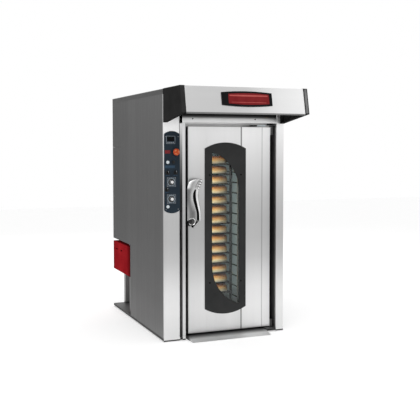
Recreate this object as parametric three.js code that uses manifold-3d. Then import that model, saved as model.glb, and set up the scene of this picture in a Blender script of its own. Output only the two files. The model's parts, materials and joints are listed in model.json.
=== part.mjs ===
// Rotating rack oven for a small bakery: one 400 x 600 mm tray rack turns in a tall baking chamber,
// with a burner and its heat exchanger behind the chamber and an extraction hood over the door.
// Units are millimetres. +X is to the right seen from the front, +Y goes to the back, +Z is up.
// Inside this file y = 0 is the front face of the two front columns and x = 0 is mid-width;
// the finished group is shifted so that the origin is under the middle of its footprint.
import * as THREE from 'three';
import { mergeVertices } from 'three/addons/utils/BufferGeometryUtils.js';
import Module from 'manifold-3d';

// ---------------------------------------------------------------- driving dimensions
const bodyWidth = 1166;
const bodyDepth = 1661;
const bodyHeight = 2200;
const lowerDepth = 1025;            // the lower body ends here, the upper body overhangs the burner
const overhangZ = 734;
const sheet = 3;                    // casing sheet
const gap = 0.3;                    // between pieces that touch
const foldWidth = 22;               // folded edge of a casing panel
const cornerFold = 10;              // leg of a front column, round the corner of the body
const roofRim = 45;
const accessSeam = 1.5;
const accessLength = 381;           // the access panel closes the rear corner of the left side
const accessDrop = 506;             // from the roof down to its top edge

const footHeight = 10;
const footRadius = 32;
const footInset = 60;
const frontFootY = 170;
const middleFootY = 870;
const pivotBearingRadius = 60;
const baseTop = 32;
const doorPlaneY = 125;             // face of the front frame that the door closes on

const controlColumnWidth = 152;
const rightColumnWidth = 76.5;
const columnCorner = 8;
const grooveWidth = 24;             // shadow groove between the control column and the door post
const postWidth = 27.5;
const frameThickness = 25;
const headerHeight = 285;           // from the roof down to the lower edge of the header

const doorLeftReveal = 43.5;        // frame face that shows beside the door
const doorRightReveal = 35.5;
const doorHeadReveal = 35;
const doorBottom = 40;
const doorFrontY = 60;
const leafDepth = 36;
const innerPanelDepth = 16;
const sealWidth = 18;
const sealLap = 25;                 // the seal reaches this far round the doorway
const sealCorner = 24;
const sealClearance = 0.5;
const seamWidth = 3;
const seamDepth = 1.5;
const leftSeamOffset = 181;         // from the middle of the window
const innerSeamOffset = 164;
const rightSeamInset = 81;          // from the hinge edge of the door

const windowOffset = 41.5;          // the window is this far left of the middle of the door
const windowRaise = 7;
const surroundWidth = 400;
const surroundMargin = 200;         // door above and below the straight part of the surround
const surroundRise = 54;            // height of the arc at the top and at the bottom
const surroundThickness = 5;
const leafWindowWidth = 265;        // clear opening, cut as a leaf with two opposite round corners
const leafWindowMargin = 31;        // surround above and below it
const leafWindowRadius = 373;
const leafWindowOffset = 2;
const glassSideLap = 17.5;          // the glass runs this far behind the surround
const glassEndLap = 16;
const glassThickness = 6;

const hingeInset = 19.5;            // hinge axis to the right column
const hingeArmLength = 187;
const hingeArmThickness = 12;
const hingePinEnd = 14;             // the pin ends this far inside its boss
const hingePinRadius = 9;
const hingeRunning = 0.8;           // running clearance round the hinge pins
const hingeBossRadius = 16;
const hingeBossHeight = 70;

const handleInset = 20;             // from the closing edge of the door
const handleZ = 1046;
const roseRadius = 44;
const roseDepth = 20;
const handleHubRadius = 34;
const handleReach = 382;            // from the pivot to the tip of the lever
const handleTipOffset = 92;         // the tip stands this far to the right of the pivot
const handleTipHalfWidth = 9;
const handleRootLeft = 33;
const handleRootRight = 66;         // the heel of the lever, beside the hub
const handleHeelDrop = 44;          // from the pivot down to the lowest corner of the heel
const handleBelly = 60;             // how far the left arc pulls out
const handleWaist = 46;             // right side of the lever at its narrowest
const handleShaftRadius = 10;
const handleCamLength = 38;
const handleCamHeight = 18;
const handleCamThickness = 8;
const handleBladeY = 0;             // front of the lever blade
const handleBladeThickness = 22;

const hoodReach = 475;
const hoodTopReach = 429;
const hoodRise = 3;                 // the hood stands this far above the roof
const hoodFrontHeight = 221;
const hoodRearHeight = 291;
const hoodWidth = 1164;
const hoodLip = 28;                 // folded inwards along the foot of the hood front
const hoodApron = 60;               // upright fixing strip at the top of its back
const hoodCap = 38;
const hoodTrim = 3;                 // the canopy stands this far inside the outline of its end caps
const signWidth = 462;
const signHeight = 108;
const signBow = 12;
const signThickness = 6;
const signX = 3;
const signRaise = 7;                // above the middle of the hood front

const rampLeftLap = 20;             // past the closing edge of the door
const rampRightInset = 71;          // short of its hinge edge
const rampReach = 119;
const rampTop = 28;
const rampSheet = 4;
const rampFlatY = -20;
const rampClearance = 12;
const webCount = 4;
const webThickness = 6;

const rackFromLeft = 528;           // turning axis of the rack, from the left side of the body
const rackY = 530;
const trayWidth = 400;
const trayDepth = 600;
const trayRim = 10;
const railEndInset = 60;            // the rails of the turntable end short of the rack
const traySheet = 1.5;
const trayCorner = 14;
const trayCount = 14;
const topTraySpace = 153.8;         // from the top tray to the head of the rack
const lowestTrayZ = 348;
const uprightSize = 20;
const runnerLeg = 17;
const runnerSheet = 3;
const rackSideClearance = 2;
const turnClearance = 15;           // between the turning rack and the chamber walls
const turntableZ = 40;
const turntableThickness = 6;
const rackHeadroom = 120;           // from the head of the rack to the ceiling of the chamber
const rackHeadHeight = 20;
const rackHubRadius = 34;
const rackHubHeight = 30;
const driveShaftRadius = 14;
const driveShaftRise = 90;          // above the ceiling of the chamber
const ceilingDrop = 70;             // from the top of the door to the ceiling
const chamberRightWall = 103;       // thickness of the right wall, with its air duct
const chamberRear = 960;
const airHoleDrop = 110;            // below the ceiling
const airHoleHeight = 300;
const returnHalfWidth = 250;

const ductSheet = 4;
const slotCount = 16;
const slotHeight = 14;
const slotEndMargin = 90;
const slotFootMargin = 100;
const slotHeadMargin = 60;
const lipReach = 18;
const lipDrop = 16;

const openingLeftInset = 36;        // the doorway, from the edges of the door
const openingRightInset = 171;

const fanX = 150;
const fanAboveCeiling = 70;
const fanRadius = 190;
const fanDepth = 90;
const fanBehindChamber = 190;
const fanBladeCount = 10;
const fanPlate = 4;
const fanHubRadius = 36;
const fanBladeThickness = 5;
const motorShaftRadius = 12;
const motorRadius = 95;
const motorLength = 230;
const motorFlange = 14;
const motorFlangeLap = 30;

const exchangerTubeRows = 4;
const exchangerTubeColumns = 4;
const exchangerTubeRadius = 34;
const exchangerHeader = 110;
const exchangerSideGap = 163;
const exchangerFrontGap = 130;
const exchangerRearGap = 101;
const exchangerHeadGap = 250;       // below the level of the chamber ceiling

const flueRadius = 75;
const flueInset = 383;              // from the left side of the body
const flueRearInset = 261;
const steamRadius = 100;
const steamY = 500;
const spigotHeight = 60;
const spigotFlange = 22;
const flangeThickness = 6;

const louvreCount = 9;
const louvrePitch = 32;
const louvreHeight = 10;
const louvreHalfWidth = 260;
const louvreDrop = 905;             // from the top of the rear panel down to the lowest louvre

const gearboxHalfWidth = 90;
const gearboxHalfDepth = 80;
const gearboxHeight = 110;
const gearFlangeRadius = 105;
const gearFlangeThickness = 16;
const gearMotorRadius = 48;
const gearMotorLength = 220;
const cowlRadius = 52;
const cowlLength = 70;
const gearMotorZ = 60;

const burnerCoverLength = 615;
const burnerCoverBottom = 410;
const burnerCoverTop = 705;
const burnerCoverDepth = 253;
const burnerCoverSheet = 2;
const burnerCoverGap = 15;
const burnerCoverRim = 14;
const standInset = 113;             // the stand under the cover, from the left side of the body
const standWidth = 70;
const standDepth = 55;
const airSlotLength = 60;
const airSlotHeight = 12;
const airSlotInset = 95;            // from the rear end of the cover
const airSlotPitch = 170;
const airSlotDrop = 80;
const housingInset = 40;
const housingDepth = 170;
const burnerInset = 143;
const burnerZ = 555;
const blastTubeRadius = 60;
const blastTubeLength = 120;
const burnerFlange = 170;
const burnerFlangeThickness = 10;
const burnerCasingRadius = 118;
const burnerCasingWidth = 160;
const burnerCasingReach = 60;       // of the casing, to the right of the burner's axis
const burnerNeckWidth = 140;
const burnerMotorRadius = 62;
const burnerMotorLength = 38;
const burnerReach = 150;            // from its flange to the axis of its blower
const controlBoxDepth = 130;
const controlBoxHeight = 120;

const panelInset = 8;
const panelWidth = 142;
const panelDrop = 103;              // from the lower edge of the header to its top corners
const panelHeight = 658;
const panelRise = 27;
const panelThickness = 8;
const stemDepth = 8;                // how far the control stems reach behind the panel
const stemClearance = 0.5;
const stemSides = 12;
const mushroomReach = 41;           // front of the emergency stop, before the column
const mushroomRadius = 30;
const dialSize = 88;
const dialPlateThickness = 2;
const dialPlateCorner = 5;
const buttonTravel = 4;
const stopCollarRadius = 35;
const stopCollarDepth = 6;
const bezelWidth = 82;
const bezelHeight = 68;
const bezelInset = 17;              // from the left edge of the panel
const bezelDrop = 15;               // from its top corners
const screenWidth = 64;
const screenHeight = 38;
const screenInset = 9;
const screenDrop = 7;
const screenDepth = 2.5;

// ---------------------------------------------------------------- derived places
const halfWidth = bodyWidth / 2;
const sideTop = bodyHeight - roofRim;
const sideStart = baseTop + gap;
const accessFrontY = bodyDepth - accessLength;
const accessTop = bodyHeight - accessDrop;
const rightColumnX = halfWidth - rightColumnWidth;
const controlColumnX = -halfWidth + controlColumnWidth;
const postX = controlColumnX + grooveWidth;
const postRightX = postX + postWidth;
const frameBackY = doorPlaneY + frameThickness;
const headerZ = bodyHeight - headerHeight;
const doorLeft = postRightX + doorLeftReveal;
const doorRight = rightColumnX - doorRightReveal;
const doorTop = headerZ - doorHeadReveal;
const windowX = (doorLeft + doorRight) / 2 - windowOffset;
const windowZ = (doorBottom + doorTop) / 2 + windowRaise;
const surroundHeight = doorTop - doorBottom - surroundMargin * 2;
const leafWindowHeight = surroundHeight - leafWindowMargin * 2;
const glassWidth = leafWindowWidth + glassSideLap * 2;
const glassHeight = leafWindowHeight + glassEndLap * 2;
const doorSeams = [windowX - leftSeamOffset, windowX + innerSeamOffset, doorRight - rightSeamInset];
const hingeX = rightColumnX - hingeInset;
const handleX = doorLeft + handleInset;
const roseY = doorFrontY - roseDepth;
const hoodTop = bodyHeight + hoodRise;
const hoodFrontBottom = hoodTop - hoodFrontHeight;
const hoodRearBottom = hoodTop - hoodRearHeight;
const rampLeft = doorLeft - rampLeftLap;
const rampRight = doorRight - rampRightInset;
const rackX = -halfWidth + rackFromLeft;
const chamberCeiling = doorTop - ceilingDrop;
const chamberRight = halfWidth - chamberRightWall;
const rackTopZ = chamberCeiling - rackHeadroom;
const trayPitch = (rackTopZ - topTraySpace - lowestTrayZ) / (trayCount - 1);
const openingLeft = doorLeft + openingLeftInset;
const openingRight = doorRight - openingRightInset;
const openingTop = chamberCeiling;
const fanY = chamberRear + fanBehindChamber;
const fanZ = chamberCeiling + fanAboveCeiling;
const housingRearY = lowerDepth + housingDepth;
const burnerX = -halfWidth + burnerInset;
const panelLeft = -halfWidth + panelInset;
const panelTop = headerZ - panelDrop;
const panelBottom = panelTop - panelHeight;
const dialPlateY = -panelThickness - dialPlateThickness;
const rackHalfWidth = trayWidth / 2 + rackSideClearance + uprightSize;
const rackHalfDepth = trayDepth / 2;
const railHalfLength = rackHalfDepth - railEndInset;
const turningRadius = Math.hypot(rackHalfWidth, rackHalfDepth);
const chamberLeft = rackX - turningRadius - turnClearance;
const ductX = rackX + turningRadius + turnClearance;
const turntableTop = turntableZ + turntableThickness;
const leafBackY = doorFrontY + leafDepth;
const innerPanelY = leafBackY + gap;
const sealY = innerPanelY + innerPanelDepth + gap;
const stemBackY = sheet + stemDepth;
const originY = (bodyDepth - hoodReach) / 2;

// ---------------------------------------------------------------- solids
const wasm = await Module();
wasm.setup();

function toSolid(geometry) {
  const bare = geometry.clone();
  bare.deleteAttribute('normal');
  bare.deleteAttribute('uv');
  const merged = mergeVertices(bare, 1e-4);
  return new wasm.Manifold(new wasm.Mesh({
    numProp: 3,
    vertProperties: new Float32Array(merged.attributes.position.array),
    triVerts: new Uint32Array(merged.index.array),
  }));
}

function fromSolid(solid) {
  const { vertProperties, triVerts } = solid.getMesh();
  const geometry = new THREE.BufferGeometry();
  geometry.setAttribute('position', new THREE.BufferAttribute(vertProperties, 3));
  geometry.setIndex(new THREE.BufferAttribute(triVerts, 1));
  return geometry;
}

function join(...geometries) {
  return fromSolid(geometries.map(toSolid).reduce((whole, next) => whole.add(next)));
}

function cut(geometry, ...tools) {
  return fromSolid(tools.map(toSolid).reduce((whole, next) => whole.subtract(next), toSolid(geometry)));
}

function block(x0, x1, y0, y1, z0, z1) {
  const box = new THREE.BoxGeometry(x1 - x0, y1 - y0, z1 - z0);
  return box.translate((x0 + x1) / 2, (y0 + y1) / 2, (z0 + z1) / 2);
}

function extrude(shape, depth, curveSegments = 4) {
  return new THREE.ExtrudeGeometry(shape, { depth, bevelEnabled: false, curveSegments });
}

// an outline in X and Y, raised from z0 to z1
function prismZ(shape, z0, z1, curveSegments) {
  return extrude(shape, z1 - z0, curveSegments).translate(0, 0, z0);
}

// an outline in X and Z, stretched from y0 to y1
function prismY(shape, y0, y1, curveSegments) {
  return extrude(shape, y1 - y0, curveSegments).rotateX(Math.PI / 2).translate(0, y1, 0);
}

// an outline in Y and Z, stretched from x0 to x1
const yzToX = new THREE.Matrix4().makeBasis(
  new THREE.Vector3(0, 1, 0),
  new THREE.Vector3(0, 0, 1),
  new THREE.Vector3(1, 0, 0),
);

function prismX(shape, x0, x1) {
  return extrude(shape, x1 - x0).applyMatrix4(yzToX).translate(x0, 0, 0);
}

function outline(points) {
  return new THREE.Shape(points.map(([a, b]) => new THREE.Vector2(a, b)));
}

function rodX(y, z, x0, x1, radius, sides = 24) {
  const rod = new THREE.CylinderGeometry(radius, radius, x1 - x0, sides);
  return rod.rotateZ(Math.PI / 2).translate((x0 + x1) / 2, y, z);
}

function rodY(x, z, y0, y1, radius, sides = 24) {
  return new THREE.CylinderGeometry(radius, radius, y1 - y0, sides).translate(x, (y0 + y1) / 2, z);
}

function rodZ(x, y, z0, z1, radius, sides = 24) {
  const rod = new THREE.CylinderGeometry(radius, radius, z1 - z0, sides);
  return rod.rotateX(Math.PI / 2).translate(x, y, (z0 + z1) / 2);
}

// a turned piece about an axis along Y through (x, z); the profile is [radius, y] pairs
// that start and end on the axis and run anticlockwise, from the front face to the back
function turnedY(x, z, profile, sides = 24) {
  const points = profile.map(([radius, y]) => new THREE.Vector2(radius, y));
  return new THREE.LatheGeometry(points, sides).translate(x, 0, z);
}

function roundedRect(x0, x1, y0, y1, radius) {
  const shape = new THREE.Shape();
  shape.moveTo(x0 + radius, y0);
  shape.lineTo(x1 - radius, y0);
  shape.absarc(x1 - radius, y0 + radius, radius, -Math.PI / 2, 0, false);
  shape.lineTo(x1, y1 - radius);
  shape.absarc(x1 - radius, y1 - radius, radius, 0, Math.PI / 2, false);
  shape.lineTo(x0 + radius, y1);
  shape.absarc(x0 + radius, y1 - radius, radius, Math.PI / 2, Math.PI, false);
  shape.lineTo(x0, y0 + radius);
  shape.absarc(x0 + radius, y0 + radius, radius, Math.PI, Math.PI * 1.5, false);
  return shape;
}

// an upright rectangle whose top and bottom edges bow outwards as arcs
function bowedRect(x0, x1, z0, z1, rise) {
  const half = (x1 - x0) / 2;
  const middle = (x0 + x1) / 2;
  const radius = (half * half + rise * rise) / (2 * rise);
  const spread = Math.asin(half / radius);
  const shape = new THREE.Shape();
  shape.moveTo(x1, z0);
  shape.lineTo(x1, z1);
  shape.absarc(middle, z1 + rise - radius, radius, Math.PI / 2 - spread, Math.PI / 2 + spread, false);
  shape.lineTo(x0, z0);
  shape.absarc(middle, z0 - rise + radius, radius, -Math.PI / 2 - spread, -Math.PI / 2 + spread, false);
  return shape;
}

// the leaf: sharp at the top left and bottom right, swept by an arc at the other two corners
function leafOutline(x, z, width, height, radius) {
  const left = x - width / 2;
  const right = x + width / 2;
  const top = z + height / 2;
  const bottom = z - height / 2;
  const drop = Math.sqrt(radius ** 2 - (radius - width) ** 2);
  const sweep = Math.atan2(drop, radius - width);
  const shape = new THREE.Shape();
  shape.moveTo(right, bottom);
  shape.lineTo(right, top - drop);
  shape.absarc(right - radius, top - drop, radius, 0, sweep, false);
  shape.lineTo(left, bottom + drop);
  shape.absarc(left + radius, bottom + drop, radius, Math.PI, Math.PI + sweep, false);
  return shape;
}

// ---------------------------------------------------------------- pieces and their finishes
const oven = new THREE.Group();
const finishes = {
  steel: { color: 0xc9c9c6, roughness: 0.32, metalness: 0.9 },
  sideSteel: { color: 0x6f6f6f, roughness: 0.4, metalness: 0.8 },
  galvanised: { color: 0x9a9c9c, roughness: 0.6, metalness: 0.7 },
  black: { color: 0x1c2126, roughness: 0.35, metalness: 0.1 },
  capBlack: { color: 0x2a2c2c, roughness: 0.5, metalness: 0.1 },
  navy: { color: 0x242c33, roughness: 0.4, metalness: 0.1 },
  chrome: { color: 0xd8d8d8, roughness: 0.12, metalness: 1 },
  red: { color: 0x9c1f28, roughness: 0.45, metalness: 0.1 },
  orangeRed: { color: 0xc14a2c, roughness: 0.35, metalness: 0 },
  white: { color: 0xe6ebee, roughness: 0.35, metalness: 0 },
  glass: { color: 0x9fb0b8, roughness: 0.05, metalness: 0 },
  rubber: { color: 0x1a1a1a, roughness: 0.85, metalness: 0 },
  castIron: { color: 0x4a4a48, roughness: 0.8, metalness: 0.4 },
  motorGrey: { color: 0x5d666c, roughness: 0.6, metalness: 0.3 },
  trayBlack: { color: 0x39342e, roughness: 0.6, metalness: 0.4 },
};

function add(name, finish, geometry) {
  const mesh = new THREE.Mesh(geometry, new THREE.MeshStandardMaterial(finishes[finish]));
  mesh.name = name;
  oven.add(mesh);
  return mesh;
}

// ---------------------------------------------------------------- base and threshold
function baseFrame() {
  const recessLeft = postRightX + gap;
  const recessRight = rampRight + rampClearance;
  const plate = block(-halfWidth, halfWidth, 0, bodyDepth, footHeight, baseTop);
  const hollow = block(
    -halfWidth + sheet * 2, halfWidth - sheet * 2, frameBackY, bodyDepth - sheet * 2,
    footHeight - 1, baseTop - sheet * 2,
  );
  const rampRecess = block(recessLeft, recessRight, -1, doorPlaneY, footHeight - 1, baseTop + 1);
  const bearing = rodZ(rackX, rackY, footHeight, baseTop - sheet, pivotBearingRadius);
  const bearingBore = rodZ(rackX, rackY, footHeight + 6, baseTop + 1, driveShaftRadius + hingeRunning);
  const feet = [-halfWidth + footInset, 0, halfWidth - footInset].flatMap((x) => (
    [frontFootY, middleFootY, bodyDepth - footInset].map((y) => (
      rodZ(x, y, 0, baseTop - sheet, footRadius, 12)
    ))
  ));
  const pinTop = baseTop + hingeBossHeight - hingePinEnd;
  const pin = rodZ(hingeX, doorFrontY, baseTop - 1, pinTop, hingePinRadius);
  const standX = -halfWidth + standInset;
  const standRear = lowerDepth + burnerCoverGap + burnerCoverLength;
  const stand = cut(
    block(
      standX, standX + standWidth, standRear - standDepth, standRear, baseTop - 1, burnerCoverBottom - gap,
    ),
    block(
      standX + sheet, standX + standWidth - sheet, standRear - standDepth + sheet, standRear + 1,
      baseTop, burnerCoverBottom + 1,
    ),
  );
  return join(cut(join(cut(plate, hollow, rampRecess), bearing), bearingBore), ...feet, pin, stand);
}

function thresholdRamp() {
  const nose = -rampReach;
  const back = doorPlaneY - gap;
  const drop = rampSheet;
  const skin = outline([
    [nose, 0], [nose, 2], [rampFlatY, rampTop], [back, rampTop],
    [back, rampTop - drop], [rampFlatY + 1, rampTop - drop], [nose + 14, 0],
  ]);
  const web = outline([
    [nose + 14, 0], [rampFlatY + 1, rampTop - drop + 1], [back, rampTop - drop + 1], [back, 0],
  ]);
  const spacing = (rampRight - rampLeft - webThickness) / (webCount - 1);
  const webs = Array.from({ length: webCount }, (_, i) => {
    const x = rampLeft + spacing * i;
    return prismX(web, x, x + webThickness);
  });
  return join(prismX(skin, rampLeft, rampRight), ...webs);
}

// ---------------------------------------------------------------- casing
// the left side leaves out its rear corner, which the access panel closes
function leftSideOutline(inset) {
  const z0 = sideStart + inset;
  const z1 = sideTop - gap - inset;
  return outline([
    [cornerFold + inset, z0], [lowerDepth - inset, z0], [lowerDepth - inset, overhangZ + inset],
    [accessFrontY - inset, overhangZ + inset], [accessFrontY - inset, accessTop + inset],
    [bodyDepth - inset, accessTop + inset], [bodyDepth - inset, z1], [cornerFold + inset, z1],
  ]);
}

function rightSideOutline(inset) {
  const z0 = sideStart + inset;
  const z1 = sideTop - gap - inset;
  return outline([
    [cornerFold + inset, z0], [lowerDepth - inset, z0], [lowerDepth - inset, overhangZ + inset],
    [bodyDepth - inset, overhangZ + inset], [bodyDepth - inset, z1], [cornerFold + inset, z1],
  ]);
}

function accessOutline(inset) {
  const y0 = accessFrontY + accessSeam + inset;
  const z1 = accessTop - accessSeam - inset;
  const rear = bodyDepth - inset;
  return outline([[y0, overhangZ + inset], [rear, overhangZ + inset], [rear, z1], [y0, z1]]);
}

// a sheet pan with folded edges; side is -1 on the left of the oven and 1 on its right
function foldedPan(makeOutline, side) {
  const outer = side * halfWidth;
  const inner = side * (halfWidth - foldWidth);
  const skin = side * (halfWidth - sheet);
  return cut(
    prismX(makeOutline(0), Math.min(outer, inner), Math.max(outer, inner)),
    prismX(makeOutline(sheet), Math.min(skin, inner - side), Math.max(skin, inner - side)),
  );
}

function roofPanel() {
  const tray = cut(
    block(-halfWidth, halfWidth, 0, bodyDepth, sideTop, bodyHeight),
    block(-halfWidth + sheet, halfWidth - sheet, sheet, bodyDepth - sheet, sideTop - 1, bodyHeight - sheet),
  );
  const spigots = [
    [0, steamY, steamRadius],
    [-halfWidth + flueInset, bodyDepth - flueRearInset, flueRadius],
  ];
  const rings = spigots.map(([x, y, r]) => rodZ(x, y, bodyHeight - sheet, bodyHeight + spigotHeight, r));
  const flanges = spigots.map(([x, y, r]) => (
    rodZ(x, y, bodyHeight - 1, bodyHeight + flangeThickness, r + spigotFlange)
  ));
  const bores = spigots.map(([x, y, r]) => rodZ(x, y, sideTop, bodyHeight + spigotHeight + 1, r - sheet));
  return cut(join(tray, ...rings, ...flanges), ...bores);
}

function rearPanel() {
  const side = halfWidth - foldWidth - gap;
  const back = bodyDepth - sheet - gap;
  const wall = block(-side, side, back - sheet, back, overhangZ + sheet + gap, sideTop - gap);
  const floor = block(
    -side, side, lowerDepth + sheet + gap, back, overhangZ + sheet + gap, overhangZ + sheet * 2 + gap,
  );
  const places = Array.from({ length: louvreCount }, (_, i) => sideTop - louvreDrop + i * louvrePitch);
  const slots = places.map((z) => (
    block(-louvreHalfWidth, louvreHalfWidth, back - sheet - 1, back + 1, z, z + louvreHeight)
  ));
  const louvres = places.map((z) => {
    const tip = back + sheet;
    const root = z + louvreHeight;
    const hood = outline([[back - 1, root + 4], [tip, z + 2], [tip, z], [back - 1, root + 1]]);
    return prismX(hood, -louvreHalfWidth, louvreHalfWidth);
  });
  return join(cut(join(wall, floor), ...slots), ...louvres);
}

function combustionHousing() {
  const side = halfWidth - housingInset;
  const front = lowerDepth + gap;
  const top = overhangZ - gap;
  const bottom = baseTop + gap;
  const shell = cut(
    block(-side, side, front, housingRearY, bottom, top),
    block(-side + sheet, side - sheet, front - 1, housingRearY - sheet, bottom + sheet, top - sheet),
  );
  const port = rodY(burnerX, burnerZ, housingRearY - 10, housingRearY + 10, blastTubeRadius + 2);
  return cut(shell, port);
}

// ---------------------------------------------------------------- front columns and frame
function channel(x0, x1, leftLeg, rightLeg, radius) {
  const shape = new THREE.Shape();
  const inner = Math.max(radius - sheet, 1);
  shape.moveTo(x0, leftLeg);
  shape.lineTo(x0, radius);
  shape.absarc(x0 + radius, radius, radius, Math.PI, Math.PI * 1.5, false);
  shape.lineTo(x1 - radius, 0);
  shape.absarc(x1 - radius, radius, radius, -Math.PI / 2, 0, false);
  shape.lineTo(x1, rightLeg);
  shape.lineTo(x1 - sheet, rightLeg);
  shape.lineTo(x1 - sheet, sheet + inner);
  shape.absarc(x1 - sheet - inner, sheet + inner, inner, 0, -Math.PI / 2, true);
  shape.lineTo(x0 + sheet + inner, sheet);
  shape.absarc(x0 + sheet + inner, sheet + inner, inner, Math.PI * 1.5, Math.PI, true);
  shape.lineTo(x0 + sheet, leftLeg);
  return shape;
}

function controlColumn() {
  const shape = channel(-halfWidth, controlColumnX, cornerFold - gap, doorPlaneY - gap, columnCorner);
  const column = prismZ(shape, sideStart, sideTop - gap);
  return cut(column, ...controls.map(({ x, z, hole }) => rodY(x, z, -1, sheet + 1, hole, stemSides)));
}

function rightColumn() {
  const shape = channel(rightColumnX, halfWidth, doorPlaneY - gap, cornerFold - gap, columnCorner);
  return prismZ(shape, sideStart, sideTop - gap);
}

function frontFrame() {
  const left = -halfWidth + foldWidth + gap;
  const right = halfWidth - foldWidth - gap;
  const bottom = baseTop + gap;
  const face = block(left, right, doorPlaneY, frameBackY, bottom, sideTop - gap);
  const doorway = block(openingLeft, openingRight, 0, frameBackY + 1, 0, openingTop);
  const plenum = block(
    left + sheet, right - sheet, doorPlaneY + sheet, frameBackY + 1, openingTop + frameThickness,
    sideTop - gap - sheet,
  );
  const post = block(postX, postRightX, 0, doorPlaneY + 1, bottom, headerZ - gap);
  const postHollow = block(
    postX + sheet, postRightX - sheet, sheet, frameBackY + 1, bottom - 1, headerZ - gap - sheet,
  );
  const bracketZ = doorTop + 4;
  const bracketRight = hingeX + hingeBossRadius;
  const arm = block(
    hingeX - hingeArmLength, bracketRight, doorFrontY - hingeBossRadius, doorPlaneY + 1,
    bracketZ, bracketZ + hingeArmThickness,
  );
  const pinEnd = doorTop - hingeBossHeight + hingePinEnd;
  const pin = rodZ(hingeX, doorFrontY, pinEnd, bracketZ + 1, hingePinRadius);
  return cut(join(cut(face, doorway, plenum), post, arm, pin), postHollow);
}

function headerFascia() {
  const shape = outline([
    [0, headerZ], [0, sideTop - gap], [sheet, sideTop - gap], [sheet, headerZ + sheet],
    [doorPlaneY - gap, headerZ + sheet], [doorPlaneY - gap, headerZ],
  ]);
  return prismX(shape, postX, rightColumnX - gap);
}

// ---------------------------------------------------------------- hood
function hoodOutline(inset) {
  return outline([
    [-hoodReach + inset, hoodFrontBottom + inset], [-hoodTopReach + inset, hoodTop - inset],
    [-gap - inset, hoodTop - inset], [-gap - inset, hoodRearBottom + inset],
  ]);
}

// front, top and fixing strip in one bent sheet; the hood is open below, over the door
function hoodCanopy() {
  const half = hoodWidth / 2 - hoodCap - gap;
  const body = cut(
    prismX(hoodOutline(hoodTrim), -half, half),
    prismX(hoodOutline(hoodTrim + sheet), -half - 1, half + 1),
  );
  const mouthFront = -hoodReach + hoodTrim + hoodLip;
  const mouth = block(
    -half - 1, half + 1, mouthFront, 0, hoodRearBottom - 1, hoodFrontBottom + hoodTrim + sheet + 2,
  );
  const back = block(
    -half - 1, half + 1, -hoodLip, 0, hoodRearBottom - 1, hoodTop - hoodTrim - hoodApron,
  );
  return cut(body, mouth, back);
}

function hoodEndCap(side) {
  const inner = side * (hoodWidth / 2 - hoodCap);
  const outer = side * (hoodWidth / 2);
  const skin = side * (hoodWidth / 2 - sheet);
  return cut(
    prismX(hoodOutline(0), Math.min(inner, outer), Math.max(inner, outer)),
    prismX(hoodOutline(sheet + hoodTrim), Math.min(inner - side, skin), Math.max(inner - side, skin)),
  );
}

// the sign plate is drawn upright and then leans with the front of the hood
function hoodSignPanel() {
  const lean = Math.atan2(hoodReach - hoodTopReach, hoodTop - hoodFrontBottom - hoodTrim * 2);
  const plate = prismY(
    bowedRect(-signWidth / 2, signWidth / 2, -signHeight / 2, signHeight / 2, signBow),
    -signThickness, 0,
  );
  const middle = (hoodFrontBottom + hoodTop) / 2 + signRaise;
  const faceY = -hoodReach + hoodTrim + (middle - hoodFrontBottom - hoodTrim) * Math.tan(lean);
  return plate.rotateX(-lean).translate(signX, faceY - gap / Math.cos(lean), middle);
}

// ---------------------------------------------------------------- baking chamber
function chamberLiner() {
  const front = frameBackY + gap;
  const bottom = baseTop + gap;
  const shell = cut(
    block(
      chamberLeft - sheet, chamberRight + sheet, front, chamberRear + sheet, bottom, chamberCeiling + sheet,
    ),
    block(chamberLeft, chamberRight, front - 1, chamberRear, bottom + sheet, chamberCeiling),
  );
  const shaftHole = rodZ(rackX, rackY, chamberCeiling - 5, chamberCeiling + 10, driveShaftRadius + 2);
  const pivotHole = rodZ(rackX, rackY, 0, turntableZ + 5, driveShaftRadius + 2);
  const airHoleTop = chamberCeiling - airHoleDrop;
  const airHole = (x0, x1) => (
    block(x0, x1, chamberRear - 5, chamberRear + 10, airHoleTop - airHoleHeight, airHoleTop)
  );
  const returnAir = airHole(-returnHalfWidth, returnHalfWidth);
  const ductEdge = (chamberRight - ductX) * 0.2;
  const supplyAir = airHole(ductX + ductEdge, chamberRight - ductEdge);
  return cut(shell, shaftHole, pivotHole, returnAir, supplyAir);
}

// the wall that blows on the loaves: a folded panel with a ladder of slots, each with its own lip
function airSupplyPanel() {
  const y0 = frameBackY + 12;
  const y1 = chamberRear - gap;
  const z0 = baseTop + sheet + gap * 2;
  const z1 = chamberCeiling - gap;
  const wall = block(ductX, ductX + ductSheet, y0, y1, z0, z1);
  const foot = block(ductX, chamberRight - gap, y0, y0 + ductSheet, z0, z1);
  const pitch = (z1 - z0 - slotFootMargin - slotHeadMargin) / slotCount;
  const places = Array.from({ length: slotCount }, (_, i) => z0 + slotFootMargin + pitch * i);
  const slots = places.map((z) => block(
    ductX - 1, ductX + ductSheet + 1, y0 + slotEndMargin, y1 - slotEndMargin, z, z + slotHeight,
  ));
  const lips = places.map((z) => {
    const lip = new THREE.Shape();
    lip.moveTo(0, 0);
    lip.lineTo(ductSheet, 0);
    lip.lineTo(ductSheet + lipReach, -lipDrop);
    lip.lineTo(ductSheet + lipReach, -lipDrop - sheet);
    lip.lineTo(0, -ductSheet);
    const ends = slotEndMargin + 10;
    const bar = extrude(lip, y1 - y0 - ends * 2);
    return bar.rotateX(Math.PI / 2).translate(ductX, y1 - ends, z);
  });
  return join(cut(join(wall, foot), ...slots), ...lips);
}

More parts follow.
